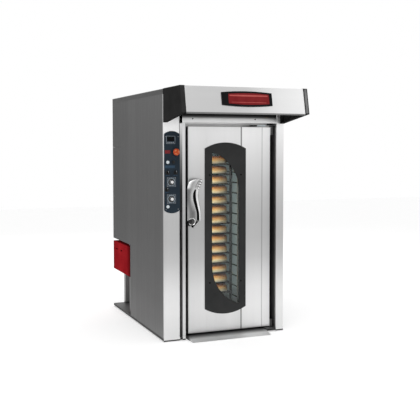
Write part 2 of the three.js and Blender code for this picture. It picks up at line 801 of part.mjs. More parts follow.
// ---------------------------------------------------------------- rack, trays and their drive
function turntable() {
  const disc = rodZ(rackX, rackY, turntableZ, turntableTop, turningRadius + 2, 48);
  const spindle = rodZ(rackX, rackY, footHeight + 6 + gap, turntableZ + 1, driveShaftRadius);
  const cleats = [-1, 1].map((side) => {
    const outer = rackX + side * (trayWidth / 2 + rackSideClearance - gap);
    const inner = outer - side * 12;
    return block(
      Math.min(inner, outer), Math.max(inner, outer), rackY - railHalfLength, rackY + railHalfLength,
      turntableTop - 1, turntableTop + 14,
    );
  });
  return join(disc, spindle, ...cleats);
}

function trayZ(level) {
  return lowestTrayZ + level * trayPitch;
}

function rackSide(side) {
  const inner = rackX + side * (trayWidth / 2 + rackSideClearance);
  const outer = rackX + side * rackHalfWidth;
  const legEnd = rackX + side * (trayWidth / 2 + rackSideClearance - runnerLeg);
  const z0 = turntableTop + gap;
  const z1 = rackTopZ - gap;
  const uprights = [-1, 1].map((end) => {
    const y = rackY + end * (rackHalfDepth - uprightSize / 2);
    return block(
      Math.min(inner, outer), Math.max(inner, outer), y - uprightSize / 2, y + uprightSize / 2, z0, z1,
    );
  });
  const runners = Array.from({ length: trayCount }, (_, level) => {
    const z = trayZ(level) - gap;
    const start = Math.min(legEnd, inner + side * runnerSheet);
    const end = Math.max(legEnd, inner + side * runnerSheet);
    const leg = block(start, end, rackY - rackHalfDepth + 1, rackY + rackHalfDepth - 1, z - runnerSheet, z);
    return leg;
  });
  const ties = [z0, z1 - uprightSize].map((z) => block(
    Math.min(inner, outer), Math.max(inner, outer), rackY - rackHalfDepth + 1, rackY + rackHalfDepth - 1,
    z, z + uprightSize,
  ));
  return join(...uprights, ...runners, ...ties);
}

function rackTop() {
  const plate = block(
    rackX - rackHalfWidth, rackX + rackHalfWidth, rackY - rackHalfDepth, rackY + rackHalfDepth,
    rackTopZ, rackTopZ + rackHeadHeight,
  );
  const tray = block(
    rackX - rackHalfWidth + sheet, rackX + rackHalfWidth - sheet, rackY - rackHalfDepth + sheet,
    rackY + rackHalfDepth - sheet, rackTopZ + sheet, rackTopZ + rackHeadHeight + 1,
  );
  const crossBar = block(
    rackX - rackHalfWidth + 1, rackX + rackHalfWidth - 1, rackY - 30, rackY + 30,
    rackTopZ + 1, rackTopZ + rackHeadHeight,
  );
  const hubTop = rackTopZ + rackHeadHeight + rackHubHeight;
  const hub = rodZ(rackX, rackY, rackTopZ + 1, hubTop, rackHubRadius);
  const shaftTop = chamberCeiling + driveShaftRise;
  const shaft = rodZ(rackX, rackY, rackTopZ + rackHeadHeight, shaftTop, driveShaftRadius);
  return join(cut(plate, tray), crossBar, hub, shaft);
}

function bakingTray(level) {
  const x0 = rackX - trayWidth / 2;
  const x1 = rackX + trayWidth / 2;
  const y0 = rackY - trayDepth / 2;
  const y1 = rackY + trayDepth / 2;
  const z = trayZ(level);
  const pan = prismZ(roundedRect(x0, x1, y0, y1, trayCorner), z, z + trayRim, 1);
  const recess = roundedRect(
    x0 + traySheet, x1 - traySheet, y0 + traySheet, y1 - traySheet, trayCorner - traySheet,
  );
  return cut(pan, prismZ(recess, z + traySheet, z + trayRim + 1, 1));
}

function rackGearmotor() {
  const z0 = chamberCeiling + sheet + gap;
  const housing = block(
    rackX - gearboxHalfWidth, rackX + gearboxHalfWidth, rackY - gearboxHalfDepth,
    rackY + gearboxHalfDepth, z0, z0 + gearboxHeight,
  );
  const flange = rodZ(rackX, rackY, z0, z0 + gearFlangeThickness, gearFlangeRadius);
  const motorEnd = rackX + gearboxHalfWidth + gearMotorLength - 10;
  const motor = rodX(rackY, z0 + gearMotorZ, rackX + gearboxHalfWidth - 10, motorEnd, gearMotorRadius);
  const cowl = rodX(rackY, z0 + gearMotorZ, motorEnd - 20, motorEnd + cowlLength - 20, cowlRadius);
  const boreTop = chamberCeiling + driveShaftRise + 10;
  const bore = rodZ(rackX, rackY, z0 - 1, boreTop, driveShaftRadius + hingeRunning);
  return cut(join(housing, flange, motor, cowl), bore);
}

// ---------------------------------------------------------------- heat, fan and burner
function heatExchanger() {
  const y0 = chamberRear + exchangerFrontGap;
  const y1 = bodyDepth - exchangerRearGap;
  const bottom = overhangZ + sheet * 2 + gap * 2;
  const top = chamberCeiling - exchangerHeadGap;
  const tubeBottom = bottom + exchangerHeader;
  const tubeTop = top - exchangerHeader;
  const right = halfWidth - exchangerSideGap;
  const left = -right;
  const lower = block(left, right, y0, y1, bottom, tubeBottom);
  const upper = block(left, right, y0, y1, tubeTop, top);
  const stepX = (right - left) / exchangerTubeColumns;
  const stepY = (y1 - y0) / exchangerTubeRows;
  const tubes = [];
  for (let column = 0; column < exchangerTubeColumns; column += 1) {
    for (let row = 0; row < exchangerTubeRows; row += 1) {
      const x = left + stepX * (column + 0.5);
      const y = y0 + stepY * (row + 0.5);
      tubes.push(rodZ(x, y, tubeBottom - 1, tubeTop + 1, exchangerTubeRadius, 10));
    }
  }
  return join(lower, upper, ...tubes);
}

function fanMotor() {
  const back = bodyDepth - sheet * 2 - gap * 2;
  const flange = rodY(fanX, fanZ, back - motorFlange, back, motorRadius + motorFlangeLap);
  const body = rodY(fanX, fanZ, back - motorLength, back - motorFlange + 1, motorRadius);
  const shaft = rodY(fanX, fanZ, fanY + 10, back - motorLength + 1, motorShaftRadius);
  return join(flange, body, shaft);
}

// backward-curved blades between a back disc and a front ring, on a bored hub
function fanImpeller() {
  const inletRadius = fanRadius * 0.62;
  const disc = rodY(fanX, fanZ, fanY + fanDepth - fanPlate, fanY + fanDepth, fanRadius, 24);
  const ring = cut(
    rodY(fanX, fanZ, fanY, fanY + fanPlate, fanRadius, 24),
    rodY(fanX, fanZ, fanY - 1, fanY + fanPlate + 1, inletRadius, 24),
  );
  const hub = rodY(fanX, fanZ, fanY + fanDepth / 3, fanY + fanDepth, fanHubRadius);
  const blades = Array.from({ length: fanBladeCount }, (_, i) => {
    const start = inletRadius - 6;
    const end = fanRadius - 3;
    const bend = new THREE.QuadraticBezierCurve(
      new THREE.Vector2(start, 0),
      new THREE.Vector2((start + end) / 2, 8),
      new THREE.Vector2(end * 0.93, end * 0.36),
    );
    const spine = bend.getPoints(3);
    const back = spine.map((point) => new THREE.Vector2(point.x + fanBladeThickness, point.y)).reverse();
    const blade = extrude(new THREE.Shape([...spine, ...back].reverse()), fanDepth - 2, 4);
    blade.rotateZ((i * Math.PI * 2) / fanBladeCount).rotateX(Math.PI / 2);
    return blade.translate(fanX, fanY + fanDepth - 1, fanZ);
  });
  const bore = rodY(fanX, fanZ, fanY - 1, fanY + fanDepth + 1, motorShaftRadius + hingeRunning);
  return cut(join(disc, ring, hub, ...blades), bore);
}

function burnerCover() {
  const x0 = -halfWidth;
  const x1 = x0 + burnerCoverDepth;
  const y0 = lowerDepth + burnerCoverGap;
  const y1 = y0 + burnerCoverLength;
  const stepX = -halfWidth + housingInset - gap;
  const stepY = housingRearY + gap;
  const plan = outline([[x0, y0], [stepX, y0], [stepX, stepY], [x1, stepY], [x1, y1], [x0, y1]]);
  const wall = burnerCoverSheet;
  const hollow = outline([
    [x0 + wall, y0 + wall], [stepX - wall, y0 + wall], [stepX - wall, stepY - 1],
    [x1 - wall, stepY - 1], [x1 - wall, y1 - wall], [x0 + wall, y1 - wall],
  ]);
  const shell = cut(
    prismZ(plan, burnerCoverBottom, burnerCoverTop),
    prismZ(hollow, burnerCoverBottom + wall, burnerCoverTop - wall),
  );
  const lap = burnerCoverRim;
  const rim = cut(
    block(stepX - wall, x1, stepY, stepY + wall, burnerCoverBottom, burnerCoverTop),
    block(
      stepX - wall + lap, x1 - lap, stepY - 1, stepY + wall + 1,
      burnerCoverBottom + lap, burnerCoverTop - lap,
    ),
  );
  const slotZ = burnerCoverTop - airSlotDrop;
  const slots = [0, 1].map((i) => {
    const slotEnd = y1 - airSlotInset - i * airSlotPitch;
    return block(x0 - 1, x0 + wall + 1, slotEnd - airSlotLength, slotEnd, slotZ, slotZ + airSlotHeight);
  });
  return cut(join(shell, rim), ...slots);
}

function burner() {
  const flangeY = housingRearY + gap;
  const neckY = flangeY + burnerFlangeThickness - 1;
  const blowerY = flangeY + burnerReach;
  const half = burnerFlange / 2;
  const casingLeft = burnerX + burnerCasingReach - burnerCasingWidth;
  const casingRight = casingLeft + burnerCasingWidth;
  const neck = burnerNeckWidth / 2;
  const tube = rodY(burnerX, burnerZ, housingRearY - blastTubeLength, neckY, blastTubeRadius);
  const flange = block(
    burnerX - half, burnerX + half, flangeY, flangeY + burnerFlangeThickness,
    burnerZ - half, burnerZ + half,
  );
  const casing = rodX(blowerY, burnerZ, casingLeft, casingRight, burnerCasingRadius, 32);
  const throat = block(
    burnerX - neck, burnerX + neck - 10, neckY - 1, blowerY - 30, burnerZ - neck, burnerZ + neck,
  );
  const motorEnd = casingRight + burnerMotorLength;
  const motor = rodX(blowerY, burnerZ, casingRight - 1, motorEnd, burnerMotorRadius);
  const boxFront = blowerY + burnerCasingRadius / 2;
  const controlBox = block(
    casingLeft + 40, casingRight - 10, boxFront, boxFront + controlBoxDepth,
    burnerZ - controlBoxHeight / 2, burnerZ + controlBoxHeight / 2,
  );
  return join(tube, flange, casing, throat, motor, controlBox);
}

// ---------------------------------------------------------------- door
function doorLeaf() {
  const corner = 14;
  const plan = new THREE.Shape();
  plan.moveTo(doorLeft, leafBackY);
  plan.lineTo(doorLeft, doorFrontY + corner);
  plan.absarc(doorLeft + corner, doorFrontY + corner, corner, Math.PI, Math.PI * 1.5, false);
  plan.lineTo(doorRight, doorFrontY);
  plan.lineTo(doorRight, leafBackY);
  const slab = prismZ(plan, doorBottom, doorTop);
  const hollow = block(
    doorLeft + sheet + 3, doorRight - sheet, doorFrontY + sheet, leafBackY + 1,
    doorBottom + sheet, doorTop - sheet,
  );
  const glassHole = block(
    windowX - glassWidth / 2 - gap, windowX + glassWidth / 2 + gap, doorFrontY - 1, leafBackY + 1,
    windowZ - glassHeight / 2 - gap, windowZ + glassHeight / 2 + gap,
  );
  const rim = block(
    windowX - glassWidth / 2 - gap - sheet, windowX + glassWidth / 2 + gap + sheet, doorFrontY + sheet - 1,
    leafBackY, windowZ - glassHeight / 2 - gap - sheet, windowZ + glassHeight / 2 + gap + sheet,
  );
  const seams = doorSeams.map((x) => block(
    x - seamWidth / 2, x + seamWidth / 2, doorFrontY - 1, doorFrontY + seamDepth, doorBottom - 1, doorTop + 1,
  ));
  const shaftHole = rodY(
    handleX, handleZ, doorFrontY - 1, doorFrontY + sheet + 1, handleShaftRadius + 1, 20,
  );
  const bosses = [[baseTop + 0.5, baseTop + hingeBossHeight], [doorTop - hingeBossHeight, doorTop]].map(
    ([z0, z1]) => cut(
      join(
        rodZ(hingeX, doorFrontY, z0, z1, hingeBossRadius),
        block(doorRight - sheet, hingeX, doorFrontY, doorFrontY + 12, Math.max(z0, doorBottom), z1),
      ),
      rodZ(hingeX, doorFrontY, z0 - 1, z1 + 1, hingePinRadius + hingeRunning),
    ),
  );
  return join(cut(join(cut(slab, hollow), rim), glassHole, shaftHole, ...seams), ...bosses);
}

function doorInnerPanel() {
  const margin = 6;
  const pane = 12;
  const face = block(
    doorLeft + margin, doorRight - margin, innerPanelY, innerPanelY + innerPanelDepth,
    doorBottom + margin, doorTop - margin,
  );
  const recess = block(
    doorLeft + margin + sheet, doorRight - margin - sheet, innerPanelY - 1,
    innerPanelY + innerPanelDepth - sheet, doorBottom + margin + sheet, doorTop - margin - sheet,
  );
  const rim = block(
    windowX - glassWidth / 2, windowX + glassWidth / 2, innerPanelY, innerPanelY + innerPanelDepth - 1,
    windowZ - glassHeight / 2, windowZ + glassHeight / 2,
  );
  const hole = block(
    windowX - glassWidth / 2 + pane, windowX + glassWidth / 2 - pane, innerPanelY - 1,
    innerPanelY + innerPanelDepth + 1, windowZ - glassHeight / 2 + pane, windowZ + glassHeight / 2 - pane,
  );
  return cut(join(cut(face, recess), rim), hole);
}

function doorSeal() {
  const left = openingLeft - sealLap;
  const right = openingRight + sealLap;
  const bottom = doorBottom + 10;
  const top = openingTop + sealLap;
  const y1 = doorPlaneY - sealClearance;
  const ring = prismY(roundedRect(left, right, bottom, top, sealCorner), sealY, y1, 4);
  const inside = roundedRect(
    left + sealWidth, right - sealWidth, bottom + sealWidth, top - sealWidth, sealCorner - sealWidth + 4,
  );
  const hole = prismY(inside, sealY - 1, y1 + 1, 4);
  return cut(ring, hole);
}

function windowSurround() {
  const half = surroundWidth / 2;
  const z0 = windowZ - surroundHeight / 2;
  const z1 = windowZ + surroundHeight / 2;
  const shape = bowedRect(windowX - half, windowX + half, z0, z1, surroundRise);
  shape.holes.push(leafOutline(
    windowX + leafWindowOffset, windowZ, leafWindowWidth, leafWindowHeight, leafWindowRadius,
  ));
  return prismY(shape, doorFrontY - gap - surroundThickness, doorFrontY - gap, 14);
}

function pane(y0) {
  return block(
    windowX - glassWidth / 2, windowX + glassWidth / 2, y0, y0 + glassThickness,
    windowZ - glassHeight / 2, windowZ + glassHeight / 2,
  );
}

function innerPane() {
  return block(
    windowX - glassWidth / 2, windowX + glassWidth / 2, innerPanelY - gap - 4, innerPanelY - gap,
    windowZ - glassHeight / 2, windowZ + glassHeight / 2,
  );
}

function handleRose() {
  const rose = turnedY(handleX, handleZ, [
    [0, roseY], [roseRadius - 8, roseY], [roseRadius, roseY + 6], [roseRadius, doorFrontY - gap],
    [0, doorFrontY - gap],
  ]);
  return cut(rose, rodY(handleX, handleZ, roseY - 1, doorFrontY + 1, handleShaftRadius + 1, 20));
}

// a crescent lever: two arcs that meet at the tip, above a turned hub with its shaft and latch cam
function doorHandle() {
  const tipX = handleX + handleTipOffset;
  const tipZ = handleZ + handleReach;
  const blade = new THREE.Shape();
  blade.moveTo(handleX - handleRootLeft, handleZ + 8);
  blade.bezierCurveTo(
    handleX - handleRootLeft * 1.5, handleZ + handleReach * 0.36, handleX - handleBelly,
    handleZ + handleReach * 0.8, tipX - handleTipHalfWidth * 1.5, tipZ - 4,
  );
  blade.lineTo(tipX + handleTipHalfWidth, tipZ - handleTipHalfWidth * 2);
  blade.bezierCurveTo(
    handleX + handleWaist, handleZ + handleReach * 0.74, handleX + handleWaist,
    handleZ + handleReach * 0.5, handleX + handleRootRight, handleZ + 8,
  );
  blade.lineTo(handleX + handleRootLeft / 2, handleZ - handleHeelDrop);
  const bevel = 4;
  const body = new THREE.ExtrudeGeometry(blade, {
    depth: handleBladeThickness - bevel * 2,
    bevelEnabled: true,
    bevelThickness: bevel,
    bevelSize: bevel,
    bevelSegments: 1,
    curveSegments: 10,
  }).rotateX(Math.PI / 2).translate(0, handleBladeY + handleBladeThickness - bevel, 0);
  const hub = rodY(handleX, handleZ, handleBladeY - bevel, roseY - 0.5, handleHubRadius, 28);
  const shaft = rodY(handleX, handleZ, roseY - 1, leafBackY - 4, handleShaftRadius, 20);
  const camBack = leafBackY - 6;
  const cam = block(
    handleX - handleShaftRadius + 1, handleX + handleCamLength, camBack - handleCamThickness, camBack,
    handleZ - handleCamHeight / 2, handleZ + handleCamHeight / 2,
  );
  return join(body, hub, shaft, cam);
}

// ---------------------------------------------------------------- control panel
// each control is placed from the left edge of the panel and from its top corners
const controls = [
  { name: 'emergency_stop', across: 105, down: 154, hole: 15, kind: 'mushroom', finish: 'orangeRed' },
  { name: 'start_button', across: 30, down: 242, hole: 9, kind: 'button', finish: 'white' },
  { name: 'stop_button', across: 82, down: 241, hole: 9, kind: 'button', finish: 'black' },
  { name: 'selector_left', across: 30, down: 332, hole: 7, kind: 'selector', finish: 'black' },
  { name: 'selector_right', across: 102, down: 331, hole: 7, kind: 'selector', finish: 'black' },
  { name: 'timer_knob_upper', across: 63, down: 413, hole: 7, kind: 'timer', finish: 'chrome' },
  { name: 'light_switch', across: 23, down: 477, hole: 7, kind: 'selector', finish: 'black' },
  { name: 'timer_knob_lower', across: 63, down: 560, hole: 7, kind: 'timer', finish: 'chrome' },
  { name: 'steam_button', across: 30, down: 626, hole: 9, kind: 'button', finish: 'white' },
].map((control) => ({ ...control, x: panelLeft + control.across, z: panelTop - control.down }));

function controlPanel() {
  const plate = prismY(
    bowedRect(panelLeft, panelLeft + panelWidth, panelBottom, panelTop, panelRise),
    -panelThickness - gap, -gap,
  );
  const dials = controls.filter(({ kind }) => kind === 'timer').map(({ x, z }) => prismY(
    roundedRect(x - dialSize / 2, x + dialSize / 2, z - dialSize / 2, z + dialSize / 2, dialPlateCorner),
    dialPlateY, -panelThickness, 2,
  ));
  const stop = controls[0];
  const collarY = -panelThickness - stopCollarDepth;
  const collar = rodY(stop.x, stop.z, collarY, -panelThickness, stopCollarRadius, 28);
  const bezelX = panelLeft + bezelInset;
  const bezelTop = panelTop - bezelDrop;
  const bezel = block(
    bezelX, bezelX + bezelWidth, dialPlateY, -panelThickness, bezelTop - bezelHeight, bezelTop,
  );
  const screenX = bezelX + screenInset;
  const screenTop = bezelTop - screenDrop;
  const screen = block(
    screenX, screenX + screenWidth, dialPlateY - 1, dialPlateY + screenDepth,
    screenTop - screenHeight, screenTop,
  );
  const holes = controls.map(({ x, z, hole }) => rodY(x, z, -30, 1, hole, stemSides));
  return cut(join(plate, ...dials, collar, bezel), screen, ...holes);
}

function mushroomHead({ x, z, hole }) {
  const stem = hole - stemClearance * 2;
  return turnedY(x, z, [
    [0, -mushroomReach], [14, 1 - mushroomReach], [25, 4 - mushroomReach], [mushroomRadius, -31],
    [mushroomRadius, -25], [26, -22], [stem, -22], [stem, stemBackY], [0, stemBackY],
  ], stemSides * 2);
}

function pushButton({ x, z, hole }) {
  const back = -panelThickness - buttonTravel - 1;
  return turnedY(x, z, [
    [0, back - 6], [12, back - 7], [15, back - 5], [15, back], [hole - stemClearance, back],
    [hole - stemClearance, stemBackY], [0, stemBackY],
  ], stemSides);
}

function selectorKnob({ x, z, hole }) {
  const back = -panelThickness - gap * 2;
  const stem = hole - stemClearance;
  const base = turnedY(x, z, [
    [0, back - 5], [19, back - 5], [19, back], [stem, back], [stem, stemBackY], [0, stemBackY],
  ], stemSides);
  const grip = block(x - 5, x + 5, back - 22, back - 4, z - 17, z + 17);
  return join(base, grip);
}

function timerKnob({ x, z, hole }) {
  const back = dialPlateY - gap;
  const stem = hole - stemClearance;
  const skirt = turnedY(x, z, [
    [0, back - 26], [13, back - 26], [15, back - 24], [17, back - 9], [23, back - 6], [24, back],
    [stem, back], [stem, stemBackY], [0, stemBackY],
  ], stemSides);
  const fluteCount = 6;
  const flutes = Array.from({ length: fluteCount }, (_, i) => {
    const angle = (i * Math.PI * 2) / fluteCount;
    return rodY(x + 18 * Math.cos(angle), z + 18 * Math.sin(angle), back - 30, back - 9.5, 3.2, 6);
  });
  return cut(skirt, ...flutes);
}

const controlMakers = {
  mushroom: mushroomHead,
  button: pushButton,
  selector: selectorKnob,
  timer: timerKnob,
};

// ---------------------------------------------------------------- assembly
add('base_frame', 'galvanised', baseFrame());
add('threshold_ramp', 'steel', thresholdRamp());
add('left_side_panel', 'sideSteel', foldedPan(leftSideOutline, -1));
add('left_access_panel', 'sideSteel', foldedPan(accessOutline, -1));
add('right_side_panel', 'sideSteel', foldedPan(rightSideOutline, 1));
add('roof_panel', 'sideSteel', roofPanel());
add('rear_panel', 'galvanised', rearPanel());
add('combustion_housing', 'galvanised', combustionHousing());
add('control_column', 'steel', controlColumn());
add('right_column', 'steel', rightColumn());
add('front_frame', 'steel', frontFrame());
add('header_fascia', 'steel', headerFascia());
add('hood_canopy', 'steel', hoodCanopy());
add('hood_end_cap_left', 'capBlack', hoodEndCap(-1));
add('hood_end_cap_right', 'capBlack', hoodEndCap(1));
add('hood_sign_panel', 'black', hoodSignPanel());
add('chamber_liner', 'steel', chamberLiner());
add('air_supply_panel', 'steel', airSupplyPanel());
add('heat_exchanger', 'castIron', heatExchanger());
add('burner_cover', 'red', burnerCover());
add('burner', 'motorGrey', burner());
add('fan_motor', 'motorGrey', fanMotor());
add('fan_impeller', 'galvanised', fanImpeller());
add('rack_gearmotor', 'motorGrey', rackGearmotor());
add('turntable', 'steel', turntable());
add('rack_side_left', 'steel', rackSide(-1));
add('rack_side_right', 'steel', rackSide(1));
add('rack_top', 'steel', rackTop());
for (let level = 0; level < trayCount; level += 1) {
  add(`tray_${String(level + 1).padStart(2, '0')}`, 'trayBlack', bakingTray(level));
}
add('door_leaf', 'steel', doorLeaf());
add('door_inner_panel', 'steel', doorInnerPanel());
add('door_seal', 'rubber', doorSeal());
add('window_surround', 'black', windowSurround());
add('window_glass', 'glass', pane(doorFrontY));
add('window_inner_glass', 'glass', innerPane());
add('handle_rose', 'black', handleRose());
add('door_handle', 'chrome', doorHandle());
add('control_panel', 'navy', controlPanel());
for (const control of controls) {
  add(control.name, control.finish, controlMakers[control.kind](control));
}

oven.position.y = -originY;

export default oven;
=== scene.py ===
"""Looks of the rotating rack oven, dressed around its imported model.

Materials and the scene are in metres, +Z up, with the door towards -Y. Dressing pieces are drawn in
millimetres: x from the middle of the oven, y back from the faces of its front columns, z from the floor.
"""

import json
import math
import random

import bmesh
import bpy
from mathutils import Matrix, Vector, noise


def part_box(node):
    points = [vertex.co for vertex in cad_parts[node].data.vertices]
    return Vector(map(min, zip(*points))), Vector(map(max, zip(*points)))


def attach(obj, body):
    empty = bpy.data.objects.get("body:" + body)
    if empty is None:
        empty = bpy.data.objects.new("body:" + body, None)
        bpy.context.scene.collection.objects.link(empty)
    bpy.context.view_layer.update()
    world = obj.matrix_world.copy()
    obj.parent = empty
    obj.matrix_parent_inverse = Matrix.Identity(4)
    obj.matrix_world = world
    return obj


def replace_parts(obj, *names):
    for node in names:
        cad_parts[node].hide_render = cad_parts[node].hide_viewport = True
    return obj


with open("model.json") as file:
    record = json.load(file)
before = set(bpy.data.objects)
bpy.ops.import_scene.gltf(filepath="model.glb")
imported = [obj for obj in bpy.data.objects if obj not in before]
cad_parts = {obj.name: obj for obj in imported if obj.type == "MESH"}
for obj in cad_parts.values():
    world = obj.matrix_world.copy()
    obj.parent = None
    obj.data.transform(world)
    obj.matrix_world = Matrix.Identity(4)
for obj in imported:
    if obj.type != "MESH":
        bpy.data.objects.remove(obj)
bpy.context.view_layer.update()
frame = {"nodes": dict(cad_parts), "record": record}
bpy.context.scene.view_settings.view_transform = "Standard"

MM = 0.001
NODES = frame["nodes"]
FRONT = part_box("control_column")[0].y  # faces of the two front columns

# ---------------------------------------------------------------- camera
IMAGE_SIDE = 420
FOCAL_PIXELS = 773.5
CENTRE_U, CENTRE_V = 216.03, 186.57  # where the view axis meets the picture
YAW, PITCH = math.radians(22.516), math.radians(3.127)
CAMERA_AT = Vector((-2.7114, -6.9167, 1.7244))
SENSOR = 36.0


def make_camera():
    data = bpy.data.cameras.new("camera")
    data.sensor_width = SENSOR
    data.lens = FOCAL_PIXELS * SENSOR / IMAGE_SIDE
    data.shift_x = (IMAGE_SIDE / 2 - CENTRE_U) / IMAGE_SIDE
    data.shift_y = (CENTRE_V - IMAGE_SIDE / 2) / IMAGE_SIDE
    data.clip_end = 60
    camera = bpy.data.objects.new("camera", data)
    bpy.context.scene.collection.objects.link(camera)
    camera.location = CAMERA_AT
    camera.rotation_euler = (math.pi / 2 - PITCH, 0, -YAW)
    bpy.context.scene.camera = camera


# ---------------------------------------------------------------- materials
def linear(value):
    c = value / 255
    return c / 12.92 if c <= 0.04045 else ((c + 0.055) / 1.055) ** 2.4


def srgb(*channels):
    """A colour written as 0-255 picture values, as the linear colour that a shader wants."""
    return (*(linear(value) for value in channels), 1.0)


def grey(value):
    return srgb(value, value, value)


class Surface:
    """One procedural material: a Principled shader and the nodes that feed it."""

    def __init__(self, name, metallic=0.0, roughness=0.4, **constants):
        self.material = bpy.data.materials.new(name)
        self.material.use_nodes = True
        tree = self.material.node_tree
        self.nodes, self.links = tree.nodes, tree.links
        self.shader = self.nodes["Principled BSDF"]
        self.set("Metallic", metallic)
        self.set("Roughness", roughness)
        for socket, value in constants.items():
            self.set(socket.replace("_", " "), value)

    def set(self, socket, value):
        self.shader.inputs[socket].default_value = value

    def node(self, kind, **settings):
        made = self.nodes.new(kind)
        for key, value in settings.items():
            setattr(made, key, value)
        return made

    def link(self, source, target):
        self.links.new(source, target)

    def coords(self, scale=(1, 1, 1)):
        place = self.node("ShaderNodeTexCoord")
        mapping = self.node("ShaderNodeMapping")
        mapping.inputs["Scale"].default_value = scale
        self.link(place.outputs["Object"], mapping.inputs["Vector"])
        return mapping.outputs["Vector"]

    def noise(self, vector, scale=1.0, detail=3.0, roughness=0.55):
        made = self.node("ShaderNodeTexNoise")
        made.inputs["Scale"].default_value = scale
        made.inputs["Detail"].default_value = detail
        made.inputs["Roughness"].default_value = roughness
        self.link(vector, made.inputs["Vector"])
        return made.outputs["Fac"]

    def ramp(self, factor, stops):
        made = self.node("ShaderNodeValToRGB")
        elements = made.color_ramp.elements
        while len(elements) < len(stops):
            elements.new(0.5)
        for element, (position, colour) in zip(elements, stops):
            element.position = position
            element.color = colour
        self.link(factor, made.inputs["Fac"])
        return made.outputs["Color"]

    def spread(self, value, low, high, from_low=0.3, from_high=0.7):
        made = self.node("ShaderNodeMapRange")
        for socket, number in zip(
            ("From Min", "From Max", "To Min", "To Max"), (from_low, from_high, low, high)
        ):
            made.inputs[socket].default_value = number
        self.link(value, made.inputs["Value"])
        return made.outputs["Result"]

    def mix(self, factor, a, b, blend="MIX"):
        made = self.node("ShaderNodeMix", data_type="RGBA", blend_type=blend)
        for socket, value in ((0, factor), (6, a), (7, b)):
            if isinstance(value, bpy.types.NodeSocket):
                self.link(value, made.inputs[socket])
            else:
                made.inputs[socket].default_value = value
        return made.outputs[2]

    def axis(self, letter, space="Object"):
        place = self.node("ShaderNodeTexCoord")
        split = self.node("ShaderNodeSeparateXYZ")
        self.link(place.outputs[space], split.inputs["Vector"])
        return split.outputs[letter]

    def along(self, letter, stops, space="Object"):
        """A grey that follows one axis; stops are (metres along it, grey)."""
        low, high = stops[0][0], stops[-1][0]
        factor = self.spread(self.axis(letter, space), 0, 1, low, high)
        return self.ramp(factor, [((at - low) / (high - low), grey(value)) for at, value in stops])

    def shaded(self, tint, masks):
        """Multiplies by each mask: (axis, stops), and where it holds (axis, stops; black is nowhere)."""
        for letter, stops, *where in masks:
            shade = self.along(letter, stops)
            if where:
                shade = self.mix(self.along(*where), (1, 1, 1, 1), shade)
            tint = self.mix(1.0, tint, shade, "MULTIPLY")
        return tint

    def colour(self, socket):
        self.link(socket, self.shader.inputs["Base Color"])

    def rough(self, socket):
        self.link(socket, self.shader.inputs["Roughness"])

    def bump(self, height, strength=0.2, distance=0.0005):
        made = self.node("ShaderNodeBump")
        made.inputs["Strength"].default_value = strength
        made.inputs["Distance"].default_value = distance
        self.link(height, made.inputs["Height"])
        self.link(made.outputs["Normal"], self.shader.inputs["Normal"])


STROKES, RUN = 700.0, 5.0  # how fine a brushed grain is across its strokes, and along them
WIDE, LONG = 7.0, 0.4  # the same for its broad soft bands


def brushed_steel(name, tones, grain="Z", metallic=0.85, roughness=0.33, wear=0.06, wide=WIDE, masks=()):
    """Brushed sheet whose grey follows tones, an (axis, stops) pair, with strokes along the grain."""
    s = Surface(name, metallic, roughness, Anisotropic=0.4)
    fine = s.noise(s.coords(tuple(RUN if letter == grain else STROKES for letter in "XYZ")), detail=4,
                   roughness=0.7)
    band = s.noise(s.coords(tuple(LONG if letter == grain else wide for letter in "XYZ")), detail=2)
    streak = s.spread(s.mix(0.5, fine, band), 1 - wear, 1 + wear)
    tint = s.mix(1.0, s.along(*tones), streak, "MULTIPLY")
    s.colour(s.shaded(tint, masks))
    s.rough(s.spread(fine, roughness * 0.85, roughness * 1.25))
    s.bump(fine, strength=0.05, distance=0.0002)
    return s.material


def enamel(name, dark, light, roughness=0.35, metallic=0.0, grain=180.0, strength=0.06, shine=0.06,
           masks=()):
    """Painted or moulded skin: fine orange peel, a little mottling and uneven gloss."""
    s = Surface(name, metallic, roughness, Specular_IOR_Level=shine)
    peel = s.noise(s.coords(), scale=grain)
    patch = s.noise(s.coords(), scale=7.0)
    s.colour(s.shaded(s.ramp(s.mix(0.3, patch, peel), [(0.3, dark), (0.7, light)]), masks))
    s.rough(s.spread(patch, roughness * 0.8, roughness * 1.3))
    s.bump(peel, strength=strength, distance=0.0003)
    return s.material


def buff(s, haze, roughness):
    """Faint buffing marks on a polished metal."""
    s.rough(s.spread(haze, roughness * 0.7, roughness * 1.6))
    s.bump(s.noise(s.coords(), scale=300.0), strength=0.03, distance=0.0001)


def polished(name, dark, light, roughness):
    """Chrome and polished castings: almost clean metal."""
    s = Surface(name, 1.0, roughness)
    haze = s.noise(s.coords((40, 40, 8)))
    s.colour(s.ramp(haze, [(0.3, dark), (0.7, light)]))
    buff(s, haze, roughness)
    return s.material


def swept_chrome(name, bands):
    """Polished casting with painted shade and a painted highlight across its sweep; bands are (from, to,
    stops across), up its UV map.
    """
    roughness = 0.22
    s = Surface(name, 1.0, roughness)
    tint = s.along("X", bands[0][2], "UV")
    for low, high, stops in bands[1:]:
        share = s.spread(s.axis("Y", "UV"), 0, 1, low, high)
        tint = s.mix(share, tint, s.along("X", stops, "UV"))
    haze = s.noise(s.coords((40, 40, 8)))
    s.colour(s.mix(1.0, tint, s.spread(haze, 0.94, 1.05), "MULTIPLY"))
    buff(s, haze, roughness)
    return s.material


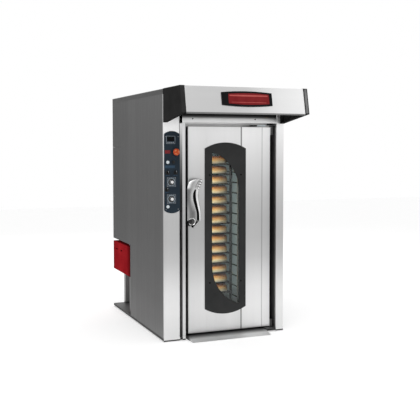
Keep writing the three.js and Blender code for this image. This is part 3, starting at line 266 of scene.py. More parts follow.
def sheet_glass(name, tint, least, most):
    """Flat glass: see-through, with faint smears and a reflection that grows at glancing angles."""
    s = Surface(name)
    through = s.node("ShaderNodeBsdfTransparent")
    through.inputs["Color"].default_value = tint
    gloss = s.node("ShaderNodeBsdfGlossy")
    gloss.inputs["Roughness"].default_value = 0.03
    smear = s.noise(s.coords((9, 9, 3)), detail=4)
    s.link(s.ramp(smear, [(0.3, grey(215)), (0.7, grey(255))]), gloss.inputs["Color"])
    edge = s.node("ShaderNodeLayerWeight")
    edge.inputs["Blend"].default_value = 0.12
    blend = s.node("ShaderNodeMixShader")
    s.link(s.spread(edge.outputs["Fresnel"], least, most, 0.0, 1.0), blend.inputs["Fac"])
    s.link(through.outputs[0], blend.inputs[1])
    s.link(gloss.outputs[0], blend.inputs[2])
    s.link(blend.outputs[0], s.nodes["Material Output"].inputs["Surface"])
    return s.material


def bread_crust(name):
    """Baked crust: cream at the foot, golden shoulders and a browner top, with painted shade towards one
    end.
    """
    s = Surface(name, 0.0, 0.55, Subsurface_Weight=0.05)
    s.set("Subsurface Radius", (0.012, 0.006, 0.003))
    height = s.node("ShaderNodeMath", operation="MULTIPLY_ADD")
    height.inputs[1].default_value = 0.3
    s.link(s.noise(s.coords(), scale=16.0, detail=4), height.inputs[0])
    s.link(s.axis("Z", "Generated"), height.inputs[2])
    # painted shade: darker towards the right end of each loaf
    shade_to_right_end = [(-0.26, 255), (0.02, 255), (0.06, 222), (0.10, 172), (0.135, 120)]
    s.colour(s.shaded(
        s.ramp(
            height.outputs[0],
            [
                (0.14, srgb(250, 226, 190)),
                (0.24, srgb(254, 240, 214)),
                (0.42, srgb(252, 228, 184)),
                (0.64, srgb(236, 182, 110)),
                (0.84, srgb(216, 142, 68)),
                (1.00, srgb(160, 88, 36)),
            ],
        ),
        [("X", shade_to_right_end)],
    ))
    s.bump(s.noise(s.coords(), scale=160.0, detail=5), strength=0.35, distance=0.0015)
    return s.material


def printed(name, dark, light):
    """A printed or anodised label face with a faint grain."""
    s = Surface(name, roughness=0.45, Specular_IOR_Level=0.2)
    grain = s.noise(s.coords((400, 400, 60)))
    s.colour(s.ramp(grain, [(0.35, dark), (0.65, light)]))
    s.bump(grain, strength=0.03, distance=0.0001)
    return s.material


def at_y(depth):
    """Metres in the scene for millimetres back from the column faces."""
    return FRONT + depth * MM


# upright sheets, by height: a painted reflection of the pale floor and ceiling, and a greyer band at
# table height
FALL = [(0.0, 222), (0.25, 231), (0.42, 226), (0.55, 213), (0.70, 194), (0.88, 185), (1.05, 185),
        (1.23, 194), (1.41, 208), (1.59, 225), (1.76, 242), (1.87, 252), (2.2, 254)]
# painted shade, darker the further back into a recess
PAINTED_RECESS_SHADE = [(at_y(0), 255), (at_y(3), 246), (at_y(15), 205), (at_y(40), 150), (at_y(126), 84)]
# painted shade, near black a few millimetres back into the gap left of the door
PAINTED_GAP_SHADE = [(at_y(0), 255), (at_y(2), 130), (at_y(6), 34), (at_y(126), 20)]
# painted shade on the column's return round its left corner
PAINTED_WRAP_SHADE_X = [(-0.59, 110), (-0.5825, 115), (-0.5805, 255), (0.59, 255)]
LEFT_GAP = [(-0.41, 0), (-0.3795, 0), (-0.379, 255), (-0.336, 255), (-0.33, 0), (0.5, 0)]
RIGHT_GAP = [(0.47, 0), (0.471, 255), (0.51, 255)]
SEAMS_X = (0.183, 0.390)
# across the door: painted shade on its left side and into the right gap, and darker joint lines at the
# two seams
DOOR_X = [(-0.34, 20), (-0.3355, 40), (-0.332, 245), (SEAMS_X[0] - 0.008, 245), (SEAMS_X[0] - 0.004, 120),
          (SEAMS_X[0] + 0.003, 120), (SEAMS_X[0] + 0.007, 255), (SEAMS_X[1] - 0.003, 255),
          (SEAMS_X[1] - 0.002, 205), (SEAMS_X[1] + 0.003, 205), (SEAMS_X[1] + 0.004, 255), (0.4715, 255),
          (0.4735, 66), (0.488, 86), (0.503, 130), (0.52, 130)]
INTO_DEPTH = [(at_y(0), 255), (at_y(240), 244), (at_y(500), 236), (at_y(690), 228), (at_y(822), 224),
              (at_y(826), 238), (at_y(870), 236), (at_y(1000), 228), (at_y(1085), 220), (at_y(1090), 208),
              (at_y(1280), 196), (at_y(1450), 187), (at_y(1661), 178)]
# the side sheets by height: the steel painted dark as the side turned from the light, with a painted
# reflection paler near the floor
SIDE_FALL = [(0.0, 122), (0.12, 104), (0.35, 80), (0.6, 70), (1.0, 66), (1.4, 69), (1.9, 75), (2.2, 82)]
SIDE_BRUSH = {"roughness": 0.42, "metallic": 0.6, "wear": 0.26, "wide": 24}
ACCESS_GAIN = 1.24  # the access panel is this much paler than the side
MATERIALS = {
    "door_steel": brushed_steel("door_steel", ("Z", FALL), masks=[("X", DOOR_X)]),
    "column_steel": brushed_steel("column_steel", ("Z", FALL), masks=[("Y", PAINTED_RECESS_SHADE), ("X", PAINTED_WRAP_SHADE_X)]),
    "frame_steel": brushed_steel("frame_steel", ("Z", FALL), masks=[
        # painted shade deep in the gaps either side of the door
        ("Y", PAINTED_GAP_SHADE, "X", LEFT_GAP),
        ("Y", PAINTED_RECESS_SHADE, "X", RIGHT_GAP),
        # painted shade on the frame under the header, above the door
        ("Z", [(1.868, 255), (1.884, 168), (1.908, 168), (1.914, 255)],
         "Y", [(at_y(0), 0), (at_y(4), 255), (at_y(160), 255)]),
        # painted shade on the post beside the control column
        ("X", [(-0.41, 238), (-0.3795, 238), (-0.37, 255), (0.6, 255)]),
    ]),
    # painted shadow of the hood, darkening the fascia towards its top
    "fascia_steel": brushed_steel("fascia_steel", ("Z", [
        (1.9, 255), (1.93, 255), (1.945, 240), (1.953, 205), (1.962, 120), (1.971, 66), (1.98, 34),
        (2.2, 26),
    ])),
    # painted light: the hood grows paler to the right; painted shade on the fold at its foot, fading to
    # the right
    "hood_steel": brushed_steel(
        "hood_steel",
        ("X", [(-0.58, 187), (-0.2, 192), (0.0, 198), (0.12, 211), (0.3, 228), (0.58, 242)]),
        grain="X", wear=0.03,
        masks=[("Z", [(1.975, 150), (1.983, 150), (1.988, 255), (2.21, 255)],
                "X", [(-0.58, 255), (0.0, 220), (0.58, 60)])],
    ),
    # painted light: paler to the right; painted shadow under the door, darker further in
    "ramp_steel": brushed_steel(
        "ramp_steel", ("X", [(-0.36, 208), (0.0, 216), (0.41, 232)]), grain="Y", roughness=0.42,
        masks=[("Y", [(at_y(-119), 255), (at_y(-64), 255), (at_y(-44), 208), (at_y(-22), 134),
                      (at_y(4), 74), (at_y(28), 42), (at_y(125), 38)])],
    ),
    "side_steel": brushed_steel("side_steel", ("Z", SIDE_FALL), masks=[("Y", INTO_DEPTH)], **SIDE_BRUSH),
    "access_steel": brushed_steel(
        "access_steel", ("Z", [(z, tone * ACCESS_GAIN) for z, tone in SIDE_FALL]), **SIDE_BRUSH,
        masks=[("Y", [(at_y(1281), 255), (at_y(1287), 255), (at_y(1289), 208), (at_y(1700), 208)],
                "Z", [(0, 255), (1.686, 255), (1.688, 0), (2, 0)]), ("Y", INTO_DEPTH)],
    ),
    # painted shade in the groove beside the control column: pale at the top, dark lower down
    "groove_steel": brushed_steel("groove_steel", ("Z", [
        (1.15, 30), (1.32, 36), (1.37, 52), (1.48, 84), (1.58, 112), (1.69, 148), (1.79, 188), (1.9, 240),
        (1.92, 240),
    ])),
    "roof_steel": brushed_steel("roof_steel", ("Z", [(2.1, 74), (2.19, 66), (2.2, 96), (2.3, 100)]),
                                grain="Y", roughness=0.45),
    "galvanised": brushed_steel("galvanised", ("Z", [(0.0, 128), (2.2, 150)]), grain="X", roughness=0.55,
                                metallic=0.6, wear=0.1),
    # painted shade along its foot, a painted highlight on the top edge of the plate, and painted light on
    # the legs above
    "base_steel": brushed_steel(
        "base_steel", ("Z", [(0.0, 30), (0.024, 40), (0.029, 84), (0.033, 70), (0.06, 150), (0.45, 165)]),
        grain="Y", roughness=0.5, metallic=0.6,
    ),
    # painted shade, darker towards the back of the chamber
    "chamber_steel": brushed_steel(
        "chamber_steel", ("Z", [(0.0, 140), (2.0, 150)]), roughness=0.42,
        masks=[("Y", [(at_y(100), 255), (at_y(600), 255), (at_y(700), 110), (at_y(960), 60)])],
    ),
    "wall_steel": brushed_steel("wall_steel", ("Z", [(0.0, 240), (2.0, 248)]), roughness=0.42),
    # painted shade: the rack is kept dark, as it stands in shade behind the loaves
    "rack_steel": brushed_steel("rack_steel", ("Z", [(0.0, 60), (2.0, 66)]), roughness=0.38),
    # painted shadow along the foot of the kick strips
    "kick_steel": brushed_steel("kick_steel", ("Z", [(0.0, 24), (0.013, 26), (0.017, 222), (0.04, 224)])),
    # the lip's dark grey is painted shade
    "lip_steel": brushed_steel("lip_steel", ("X", [(-0.55, 118), (0.55, 132)]), grain="X"),
    "cap_black": enamel("cap_black", grey(46), grey(56), 0.6, shine=0.0),
    # painted highlight on the front edge of the right end cap
    "cap_edge": enamel("cap_edge", grey(118), grey(140), 0.45),
    "sign_black": enamel("sign_black", srgb(16, 16, 17), srgb(28, 28, 29), 0.3),
    "sign_red": enamel("sign_red", srgb(112, 24, 28), srgb(140, 44, 46), 0.32),
    # painted highlight bands on the sign
    "sign_glow": enamel("sign_glow", srgb(176, 74, 70), srgb(198, 100, 96), 0.3),
    "surround_black": enamel(
        "surround_black", srgb(55, 56, 56), srgb(66, 66, 66), 0.45, shine=0.1,
        masks=[("Z", [(0.2, 246), (0.4, 226), (1.4, 226), (1.6, 255), (1.75, 255)])],
    ),
    "seal_rubber": enamel("seal_rubber", srgb(20, 20, 20), srgb(34, 34, 34), 0.8, grain=600),
    "black_plastic": enamel("black_plastic", srgb(14, 14, 15), srgb(26, 26, 28), 0.3, shine=0.3),
    "white_plastic": enamel("white_plastic", srgb(218, 228, 234), srgb(240, 246, 250), 0.3, shine=0.3),
    "stop_red": enamel("stop_red", srgb(190, 60, 20), srgb(222, 92, 38), 0.3, shine=0.3),
    # painted glints on the stop button's cap
    "stop_glint": enamel("stop_glint", srgb(236, 150, 96), srgb(246, 184, 130), 0.3),
    # black screw heads, and painted shade on the lever: its dark side strip, grip grooves and heel strips
    "inlay_black": enamel("inlay_black", grey(8), grey(14), 0.6, shine=0.03),
    "panel_navy": enamel("panel_navy", srgb(30, 41, 52), srgb(43, 55, 65), 0.4, shine=0.12),
    "screen_black": enamel("screen_black", srgb(8, 8, 10), srgb(14, 14, 17), 0.15),
    # painted shade towards both ends of the burner cover, most at its front end
    "cover_red": enamel("cover_red", srgb(164, 30, 38), srgb(190, 44, 50), 0.5, shine=0.0, masks=[
        ("Y", [(at_y(1030), 150), (at_y(1075), 175), (at_y(1150), 240), (at_y(1400), 255),
               (at_y(1600), 240), (at_y(1656), 190)]),
    ]),
    "motor_paint": enamel("motor_paint", srgb(86, 96, 103), srgb(108, 118, 125), 0.5),
    "exchanger_iron": enamel("exchanger_iron", srgb(58, 52, 48), srgb(96, 84, 76), 0.7, metallic=0.5,
                             grain=90, strength=0.3),
    # a dark coating, kept darker still as painted shade in the gaps between rows of loaves
    "tray_coating": enamel("tray_coating", srgb(22, 18, 15), srgb(36, 30, 24), 0.5, shine=0.02),
    "handle_chrome": polished("handle_chrome", grey(178), grey(214), 0.2),
    # painted shade across the blade and a painted highlight at its upper left
    "lever_chrome": swept_chrome("lever_chrome", [
        (0, 0, [(0, 155), (0.12, 148), (0.3, 116), (0.55, 112), (0.75, 124), (0.9, 160), (1, 176)]),
        (0.22, 0.50, [(0, 115), (0.2, 118), (0.4, 128), (0.55, 158), (0.7, 186), (1, 202)]),
        (0.74, 0.80, [(0, 246), (0.15, 232), (0.3, 184), (0.45, 160), (0.6, 172), (1, 182)]),
        (0.90, 0.95, [(0, 196), (1, 186)]),
    ]),
    # painted highlight along the heel's edge
    "heel_highlight": enamel("heel_highlight", grey(224), grey(238), 0.25, shine=0.4),
    "heel_grey": polished("heel_grey", grey(86), grey(140), 0.3),
    "hub_grey": polished("hub_grey", grey(44), grey(92), 0.3),
    "skirt_grey": polished("skirt_grey", grey(70), grey(112), 0.3),
    "bead_chrome": polished("bead_chrome", grey(214), grey(246), 0.12),
    "knob_chrome": polished("knob_chrome", grey(196), grey(232), 0.2),
    "screw_steel": polished("screw_steel", grey(120), grey(160), 0.3),
    "clear_glass": sheet_glass("clear_glass", (0.95, 0.97, 0.97, 1), 0.012, 0.5),
    "crust": bread_crust("crust"),
    "key_grey": printed("key_grey", srgb(140, 148, 156), srgb(172, 180, 188)),
    "dial_silver": printed("dial_silver", srgb(72, 80, 88), srgb(100, 108, 116)),
    "dial_dark": printed("dial_dark", srgb(34, 38, 44), srgb(52, 56, 62)),
    "label_blue": printed("label_blue", srgb(44, 68, 90), srgb(62, 88, 110)),
    "label_red": printed("label_red", srgb(112, 32, 38), srgb(138, 44, 48)),
    "label_white": printed("label_white", srgb(190, 204, 214), srgb(216, 228, 236)),
    "lamp_green": printed("lamp_green", srgb(40, 84, 60), srgb(58, 104, 78)),
}
NODE_FINISHES = {
    "door_leaf": "door_steel", "control_column": "column_steel", "right_column": "column_steel",
    "header_fascia": "fascia_steel", "front_frame": "frame_steel", "hood_canopy": "hood_steel",
    "threshold_ramp": "ramp_steel", "roof_panel": "roof_steel", "base_frame": "base_steel",
    "left_access_panel": "access_steel", "air_supply_panel": "wall_steel", "rack_side_left": "rack_steel",
    "rack_side_right": "rack_steel", "rack_top": "rack_steel",
}
FOLD_RADII = {
    "hood_canopy": 0.8, "hood_end_cap_left": 1.2, "hood_end_cap_right": 1.2, "door_leaf": 0.8,
    "window_surround": 1.0, "hood_sign_panel": 1.5, "control_panel": 1.0, "burner_cover": 1.0,
    "roof_panel": 0.8, "left_side_panel": 0.6, "right_side_panel": 0.6, "left_access_panel": 0.6,
    "threshold_ramp": 0.6,
}


def finish_cad_nodes():
    """Every CAD node takes its slot's material, but for those that have a finish of their own."""
    for part in frame["record"]["subparts"]:
        name = part["node"]
        node = NODES[name]
        node.data.materials.clear()
        node.data.materials.append(MATERIALS[NODE_FINISHES.get(name, part["material_slot"])])
        if name in FOLD_RADII:
            bevel(node, FOLD_RADII[name])


# ---------------------------------------------------------------- drawing helpers
SHARP_ABOVE = math.radians(32)  # edges that turn more than this are drawn hard
BEVEL_ABOVE, BEVEL_SEGMENTS = math.radians(35), 2
CORNER_STEPS, BOW_STEPS = 5, 12  # faces round a corner, and along a bowed edge


def to_object(name, bm, finishes, body):
    """Turns a millimetre drawing into a piece that rides on a body."""
    for vert in bm.verts:
        vert.co = Vector((vert.co.x * MM, at_y(vert.co.y), vert.co.z * MM))
    mesh = bpy.data.meshes.new(name)
    bm.normal_update()
    bm.to_mesh(mesh)
    bm.free()
    made = bpy.data.objects.new(name, mesh)
    bpy.context.scene.collection.objects.link(made)
    for finish in finishes if isinstance(finishes, list) else [finishes]:
        mesh.materials.append(MATERIALS[finish])
    mesh.shade_smooth()
    mesh.set_sharp_from_angle(angle=SHARP_ABOVE)
    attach(made, body)
    return made


def bevel(obj, width):
    made = obj.modifiers.new("edges", "BEVEL")
    made.width = width * MM
    made.segments = BEVEL_SEGMENTS
    made.limit_method = "ANGLE"
    made.angle_limit = BEVEL_ABOVE
    made.use_clamp_overlap = True


def add_lathe(bm, x, z, profile, sides=48, finish=0, ripple=None):
    """Turns [(radius, y)] about the line along Y through (x, z); ripple(angle, y) scales the radius."""
    rings = []
    for radius, y in profile:
        if radius < 1e-6:
            rings.append([bm.verts.new((x, y, z))])
            continue
        ring = []
        for i in range(sides):
            angle = 2 * math.pi * i / sides
            r = radius * (ripple(angle, y) if ripple else 1)
            ring.append(bm.verts.new((x + r * math.cos(angle), y, z + r * math.sin(angle))))
        rings.append(ring)
    faces = []
    for a, b in zip(rings, rings[1:]):
        for i in range(sides):
            j = (i + 1) % sides
            corners = dict.fromkeys([a[i % len(a)], a[j % len(a)], b[j % len(b)], b[i % len(b)]])
            if len(corners) > 2:
                faces.append(bm.faces.new(list(corners)))
    for face in faces:
        face.material_index = finish
    bmesh.ops.recalc_face_normals(bm, faces=faces)


def add_plate(bm, points, front, back, finish=0):
    """An outline in (x, z), closed between y = front and y = back."""
    near = [bm.verts.new((x, front, z)) for x, z in points]
    far = [bm.verts.new((x, back, z)) for x, z in points]
    faces = [bm.faces.new(near), bm.faces.new(far[::-1])]
    for i in range(len(points)):
        j = (i + 1) % len(points)
        faces.append(bm.faces.new((near[i], near[j], far[j], far[i])))
    for face in faces:
        face.material_index = finish
    bmesh.ops.recalc_face_normals(bm, faces=faces)


def rounded(x, z, width, height, radius):
    """A rounded rectangle about (x, z), as (x, z) points."""
    points = []
    for sx, sz, start in ((1, 1, 0), (-1, 1, 90), (-1, -1, 180), (1, -1, 270)):
        cx, cz = x + sx * (width / 2 - radius), z + sz * (height / 2 - radius)
        for k in range(CORNER_STEPS + 1):
            a = math.radians(start + 90 * k / CORNER_STEPS)
            points.append((cx + radius * math.cos(a), cz + radius * math.sin(a)))
    return points


def bowed(width, height, bow):
    """A plate about the origin whose long edges bow outwards."""
    top = [(width / 2 - width * i / BOW_STEPS, height / 2 + bow * (1 - (2 * i / BOW_STEPS - 1) ** 2))
           for i in range(BOW_STEPS + 1)]
    return top + [(-x, -z) for x, z in top]


def box_mm(name):
    """The box of a CAD node, in the millimetres of the drawings."""
    low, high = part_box(name)
    return [Vector((corner.x / MM, (corner.y - FRONT) / MM, corner.z / MM)) for corner in (low, high)]


def centre_of(name):
    low, high = box_mm(name)
    return (low.x + high.x) / 2, (low.z + high.z) / 2


# ---------------------------------------------------------------- door lever
LEVER_ROWS = [  # millimetres from the pivot: left edge, both sides of the strip painted black as shade and right edge, as (x, z)
    ((-41, 8), (48, 4), (69, 3), (83, 3)),
    ((-41, 57), (47, 57), (68, 57), (84, 57)),
    ((-41, 84), (45, 84), (66, 84), (83, 84)),
    ((-41, 119), (35, 119), (58, 119), (78, 119)),
    ((-41, 154), (25, 154), (51, 154), (72, 154)),
    ((-41, 190), (16, 190), (43, 190), (66, 190)),
    ((-41, 225), (13, 225), (39, 225), (64, 225)),
    ((-41, 251), (16, 251), (39, 251), (64, 251)),
    ((-41, 279), (27, 276), (42, 276), (68, 276)),
    ((-36, 315), (38, 300), (51, 299), (74, 297)),
    ((-26, 341), (48, 322), (61, 320), (83, 316)),
    ((-3, 364), (60, 342), (72, 340), (93, 335)),
    ((30, 376), (73, 358), (83, 357), (100, 352)),
    ((64, 380), (84, 372), (92, 371), (103, 366)),
]
PAINTED_SHADE_ENDS_AT = 282
COLUMNS = (12, 3, 6)  # faces across the blade, the strip painted black as shade and the bead
BLADE_RIM, BLADE_BACK = 12, 22
BLADE_DOME, BEAD_DOME = 9, 8
GRIP_FROM, GRIP_TO, GRIP_RADIUS, GRIP_RIBS = (57, 284), (91, 369), 13, 4
HUB_RADIUS = 34
CAM_LENGTH, CAM_HEIGHT, CAM_THICKNESS = 46, 18, 8
LEVER_FINISHES = ["lever_chrome", "inlay_black", "bead_chrome", "heel_grey", "heel_highlight"]
PAINTED_SHADE, BEAD, HEEL, HEEL_HIGHLIGHT = range(1, 5)  # places in that list, after the chrome of the blade
HEEL_PLATES = (  # outline from the pivot, y of its front, finish
    ([(-36, 9), (82, 9), (80, 4), (72, 3), (21, -45), (13, -48), (0, -27), (-30, -10)], 6, HEEL),
    ([(58, -6), (72, 7), (26, -42), (13, -53)], 0, HEEL_HIGHLIGHT),
    ([(46, 4), (53, -3), (10, -45), (3, -38)], 3, PAINTED_SHADE),
    ([(-8, -26), (4, -30), (12, -50), (6, -54)], 2, PAINTED_SHADE),
)


def between(rows, t):
    """A smooth point through rows of points (Catmull-Rom), t counted in rows."""
    i = min(int(t), len(rows) - 2)
    f = t - i
    a, b, c, d = (rows[min(max(k, 0), len(rows) - 1)] for k in (i - 1, i, i + 1, i + 2))

    def through(p, q, r, w):
        bend = (2 * p - 5 * q + 4 * r - w) * f * f
        return 0.5 * (2 * q + (r - p) * f + bend + (3 * q - p - 3 * r + w) * f**3)

    return [[through(*values) for values in zip(*corner)] for corner in zip(a, b, c, d)]


def add_blade(bm, x, z):
    """Crescent blade with a dome, a sunk strip painted black as shade and a bead down its right edge; UV
    is (across, up).
    """
    steps = (len(LEVER_ROWS) - 1) * 4
    top = max(row[0][1] for row in LEVER_ROWS)
    where, rings = {}, []
    for i in range(steps + 1):
        marks = between(LEVER_ROWS, i / 4)
        front, back = [], []
        for part, count in enumerate(COLUMNS):
            for k in range(count + (part == 2)):
                q = k / count
                px, pz = (a + (b - a) * q for a, b in zip(marks[part], marks[part + 1]))
                swell = max(math.sin(math.pi * q), 0) ** 0.6
                y = BLADE_RIM - (BLADE_DOME, 0, BEAD_DOME)[part] * swell
                front.append(bm.verts.new((x + px, y, z + pz)))
                back.append(bm.verts.new((x + px, BLADE_BACK, z + pz)))
                where[front[-1]] = where[back[-1]] = (q if part == 0 else 1, pz / top)
        rings.append((front + back[::-1], marks[1][1] < PAINTED_SHADE_ENDS_AT))
    for (a, painted_dark), (b, _) in zip(rings, rings[1:]):
        for k in range(len(a)):
            j = (k + 1) % len(a)
            face = bm.faces.new((a[k], a[j], b[j], b[k]))
            if COLUMNS[0] <= k < COLUMNS[0] + COLUMNS[1] and painted_dark:
                face.material_index = PAINTED_SHADE
            elif COLUMNS[0] + COLUMNS[1] <= k < sum(COLUMNS):
                face.material_index = BEAD
    bm.faces.new(rings[0][0][::-1])
    bm.faces.new(rings[-1][0])
    layer = bm.loops.layers.uv.new("sweep")
    for face in bm.faces:
        for loop in face.loops:
            loop[layer].uv = where[loop.vert]


def add_grip(bm, x, z):
    """Ribbed grip along the upper right edge of the blade, its grooves painted black as shade."""
    start, end = Vector(GRIP_FROM), Vector(GRIP_TO)
    along = (end - start).normalized()
    steps, sides = GRIP_RIBS * 8, 20
    rings = []
    for i in range(steps + 1):
        t = i / steps
        groove = max(math.cos(2 * math.pi * GRIP_RIBS * t), 0) ** 0.5
        r = GRIP_RADIUS * (1 - 0.22 * groove) * min(1, 0.5 + 6 * min(t, 1 - t))
        spot = start.lerp(end, t)
        ring = []
        for k in range(sides):
            a = 2 * math.pi * k / sides
            ring.append(bm.verts.new((x + spot.x - along.y * r * math.cos(a), 8 - r * math.sin(a),
                                      z + spot.y + along.x * r * math.cos(a))))
        rings.append((ring, groove > 0.3))
    for (a, dark), (b, also) in zip(rings, rings[1:]):
        for k in range(sides):
            j = (k + 1) % sides
            bm.faces.new((a[k], a[j], b[j], b[k])).material_index = PAINTED_SHADE if dark and also else BEAD
    for ring, _ in (rings[0], rings[-1]):
        bm.faces.new(ring).material_index = BEAD


def make_lever():
    """The crescent lever with its grip and heel, its hub with a black cap, and the latch cam."""
    x, z = centre_of("handle_rose")
    bm = bmesh.new()
    add_blade(bm, x, z)
    add_grip(bm, x, z)
    for outline, front, finish in HEEL_PLATES:
        add_plate(bm, [(x + dx, z + dz) for dx, dz in outline], front, BLADE_BACK, finish)
    bmesh.ops.recalc_face_normals(bm, faces=bm.faces)
    lever = to_object("lever", bm, LEVER_FINISHES, "handle")
    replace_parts(lever, "door_handle")

    bm = bmesh.new()
    add_lathe(bm, x, z, [(0, 1), (22, 2), (26, 4), (26, 30), (0, 30)], sides=56, finish=1)
    add_lathe(bm, x, z, [(25, 8), (25, 4), (27, 1), (30, -1), (33, 2), (HUB_RADIUS, 8), (HUB_RADIUS, 36),
                         (30, 39), (25, 39), (25, 8)], sides=56)
    add_lathe(bm, x, z, [(0, 38), (10, 38), (10, 90), (0, 90)], sides=24)
    to_object("lever_hub", bm, ["bead_chrome", "hub_grey"], "handle")
    bm = bmesh.new()
    add_lathe(bm, x - 17, z + 1, [(0, -3.8), (14, -3.6), (18, -1.8), (20, 2), (20, 10), (0, 10)],
              sides=40)
    to_object("lever_cap", bm, "black_plastic", "handle")
    cam_back = box_mm("door_handle")[1].y
    bm = bmesh.new()
    add_plate(bm, rounded(x + 14, z, CAM_LENGTH, CAM_HEIGHT, 6), cam_back - CAM_THICKNESS, cam_back)
    bevel(to_object("lever_cam", bm, "handle_chrome", "handle"), 1)


# ---------------------------------------------------------------- controls
COLLAR_DEPTH, DIAL_PLATE = 6, 2  # how far the stop collar and the dial plates stand proud of the panel
PANEL_RISE = 27  # bow of its upper edge
PANEL_LEFT = box_mm("control_panel")[0].x
PANEL_TOP = box_mm("control_panel")[1].z - PANEL_RISE
DIAL_Y = box_mm("control_panel")[0].y + COLLAR_DEPTH - DIAL_PLATE
PLATE_Y = DIAL_Y + DIAL_PLATE
TIMERS = ("timer_knob_upper", "timer_knob_lower")


def on_panel(across, down, width, height, radius):
    """A rounded rectangle placed from the left edge of the panel and from its top corners."""
    return rounded(PANEL_LEFT + across, PANEL_TOP - down, width, height, radius)


def mushroom(bm, x, z):
    add_lathe(bm, x, z, [(0, -40.6), (9, -40.4), (17, -39.2), (24, -37), (28.5, -33.5), (29.8, -30),
                         (29.8, -26), (27, -23), (14, -22), (14, 8), (0, 8)], sides=64)
    # three paler arcs on the cap: painted glints
    for start in (100, 220, 340):
        arc = [math.radians(start + 9 * k) for k in range(8)]
        inner = [(x + 15 * math.cos(a), z + 15 * math.sin(a)) for a in arc]
        outer = [(x + 20 * math.cos(a), z + 20 * math.sin(a)) for a in reversed(arc)]
        add_plate(bm, inner + outer, -40.3, -37, finish=1)


def button(bm, x, z):
    add_lathe(bm, x, z, [(0, -19.2), (10, -19.6), (12.5, -19), (14, -17), (14.4, -13.4), (8.4, -13.3),
                         (8.4, 8), (0, 8)], sides=40)


def selector(bm, x, z):
    add_lathe(bm, x, z, [(0, -14), (16, -14), (18.4, -12.5), (18.8, -9), (6.4, -8.9), (6.4, 8), (0, 8)],
              ripple=lambda a, y: 1 + 0.012 * math.cos(24 * a))
    add_plate(bm, rounded(x, z, 10, 33, 4), -30.4, -13)
    add_plate(bm, rounded(x, z + 10, 2.4, 10, 1.1), -30.9, -30.2, finish=1)


def timer(bm, x, z):
    back = DIAL_Y - 1.2

    def ripple(angle, y):
        return 1 + (0.035 * math.cos(18 * angle) if y < back - 8 else 0)

    add_lathe(bm, x, z, [(0, back - 25.4), (10, back - 25.4), (12.6, back - 24.4), (14, back - 22),
                         (16, back - 9)], sides=72, ripple=ripple)
    add_lathe(bm, x, z, [(16, back - 9), (19, back - 7.6), (22.6, back - 5.6), (23.6, back - 1),
                         (6.4, back), (6.4, 8), (0, 8)], sides=72, finish=2, ripple=ripple)
    add_plate(bm, rounded(x, z + 16, 2.2, 11, 1), back - 8.6, back - 5, finish=1)


def make_controls():
    """Finer heads for the controls, each on its own body; they replace the plain ones."""
    heads = {
        "emergency_stop": (mushroom, ["stop_red", "stop_glint"], "stop_red"),
        "start_button": (button, ["white_plastic"], "white_plastic"),
        "stop_button": (button, ["black_plastic"], "black_plastic"),
        "steam_button": (button, ["white_plastic"], "white_plastic"),
        "selector_left": (selector, ["black_plastic", "label_white"], "black_plastic"),
        "selector_right": (selector, ["black_plastic", "label_white"], "black_plastic"),
        "light_switch": (selector, ["black_plastic", "label_white"], "black_plastic"),
    }
    for name in TIMERS:
        heads[name] = (timer, ["knob_chrome", "black_plastic", "skirt_grey"], "knob_chrome")
    for name, (draw, finishes, slot) in heads.items():
        bm = bmesh.new()
        draw(bm, *centre_of(name))
        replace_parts(to_object(name + "_head", bm, finishes, name), name)


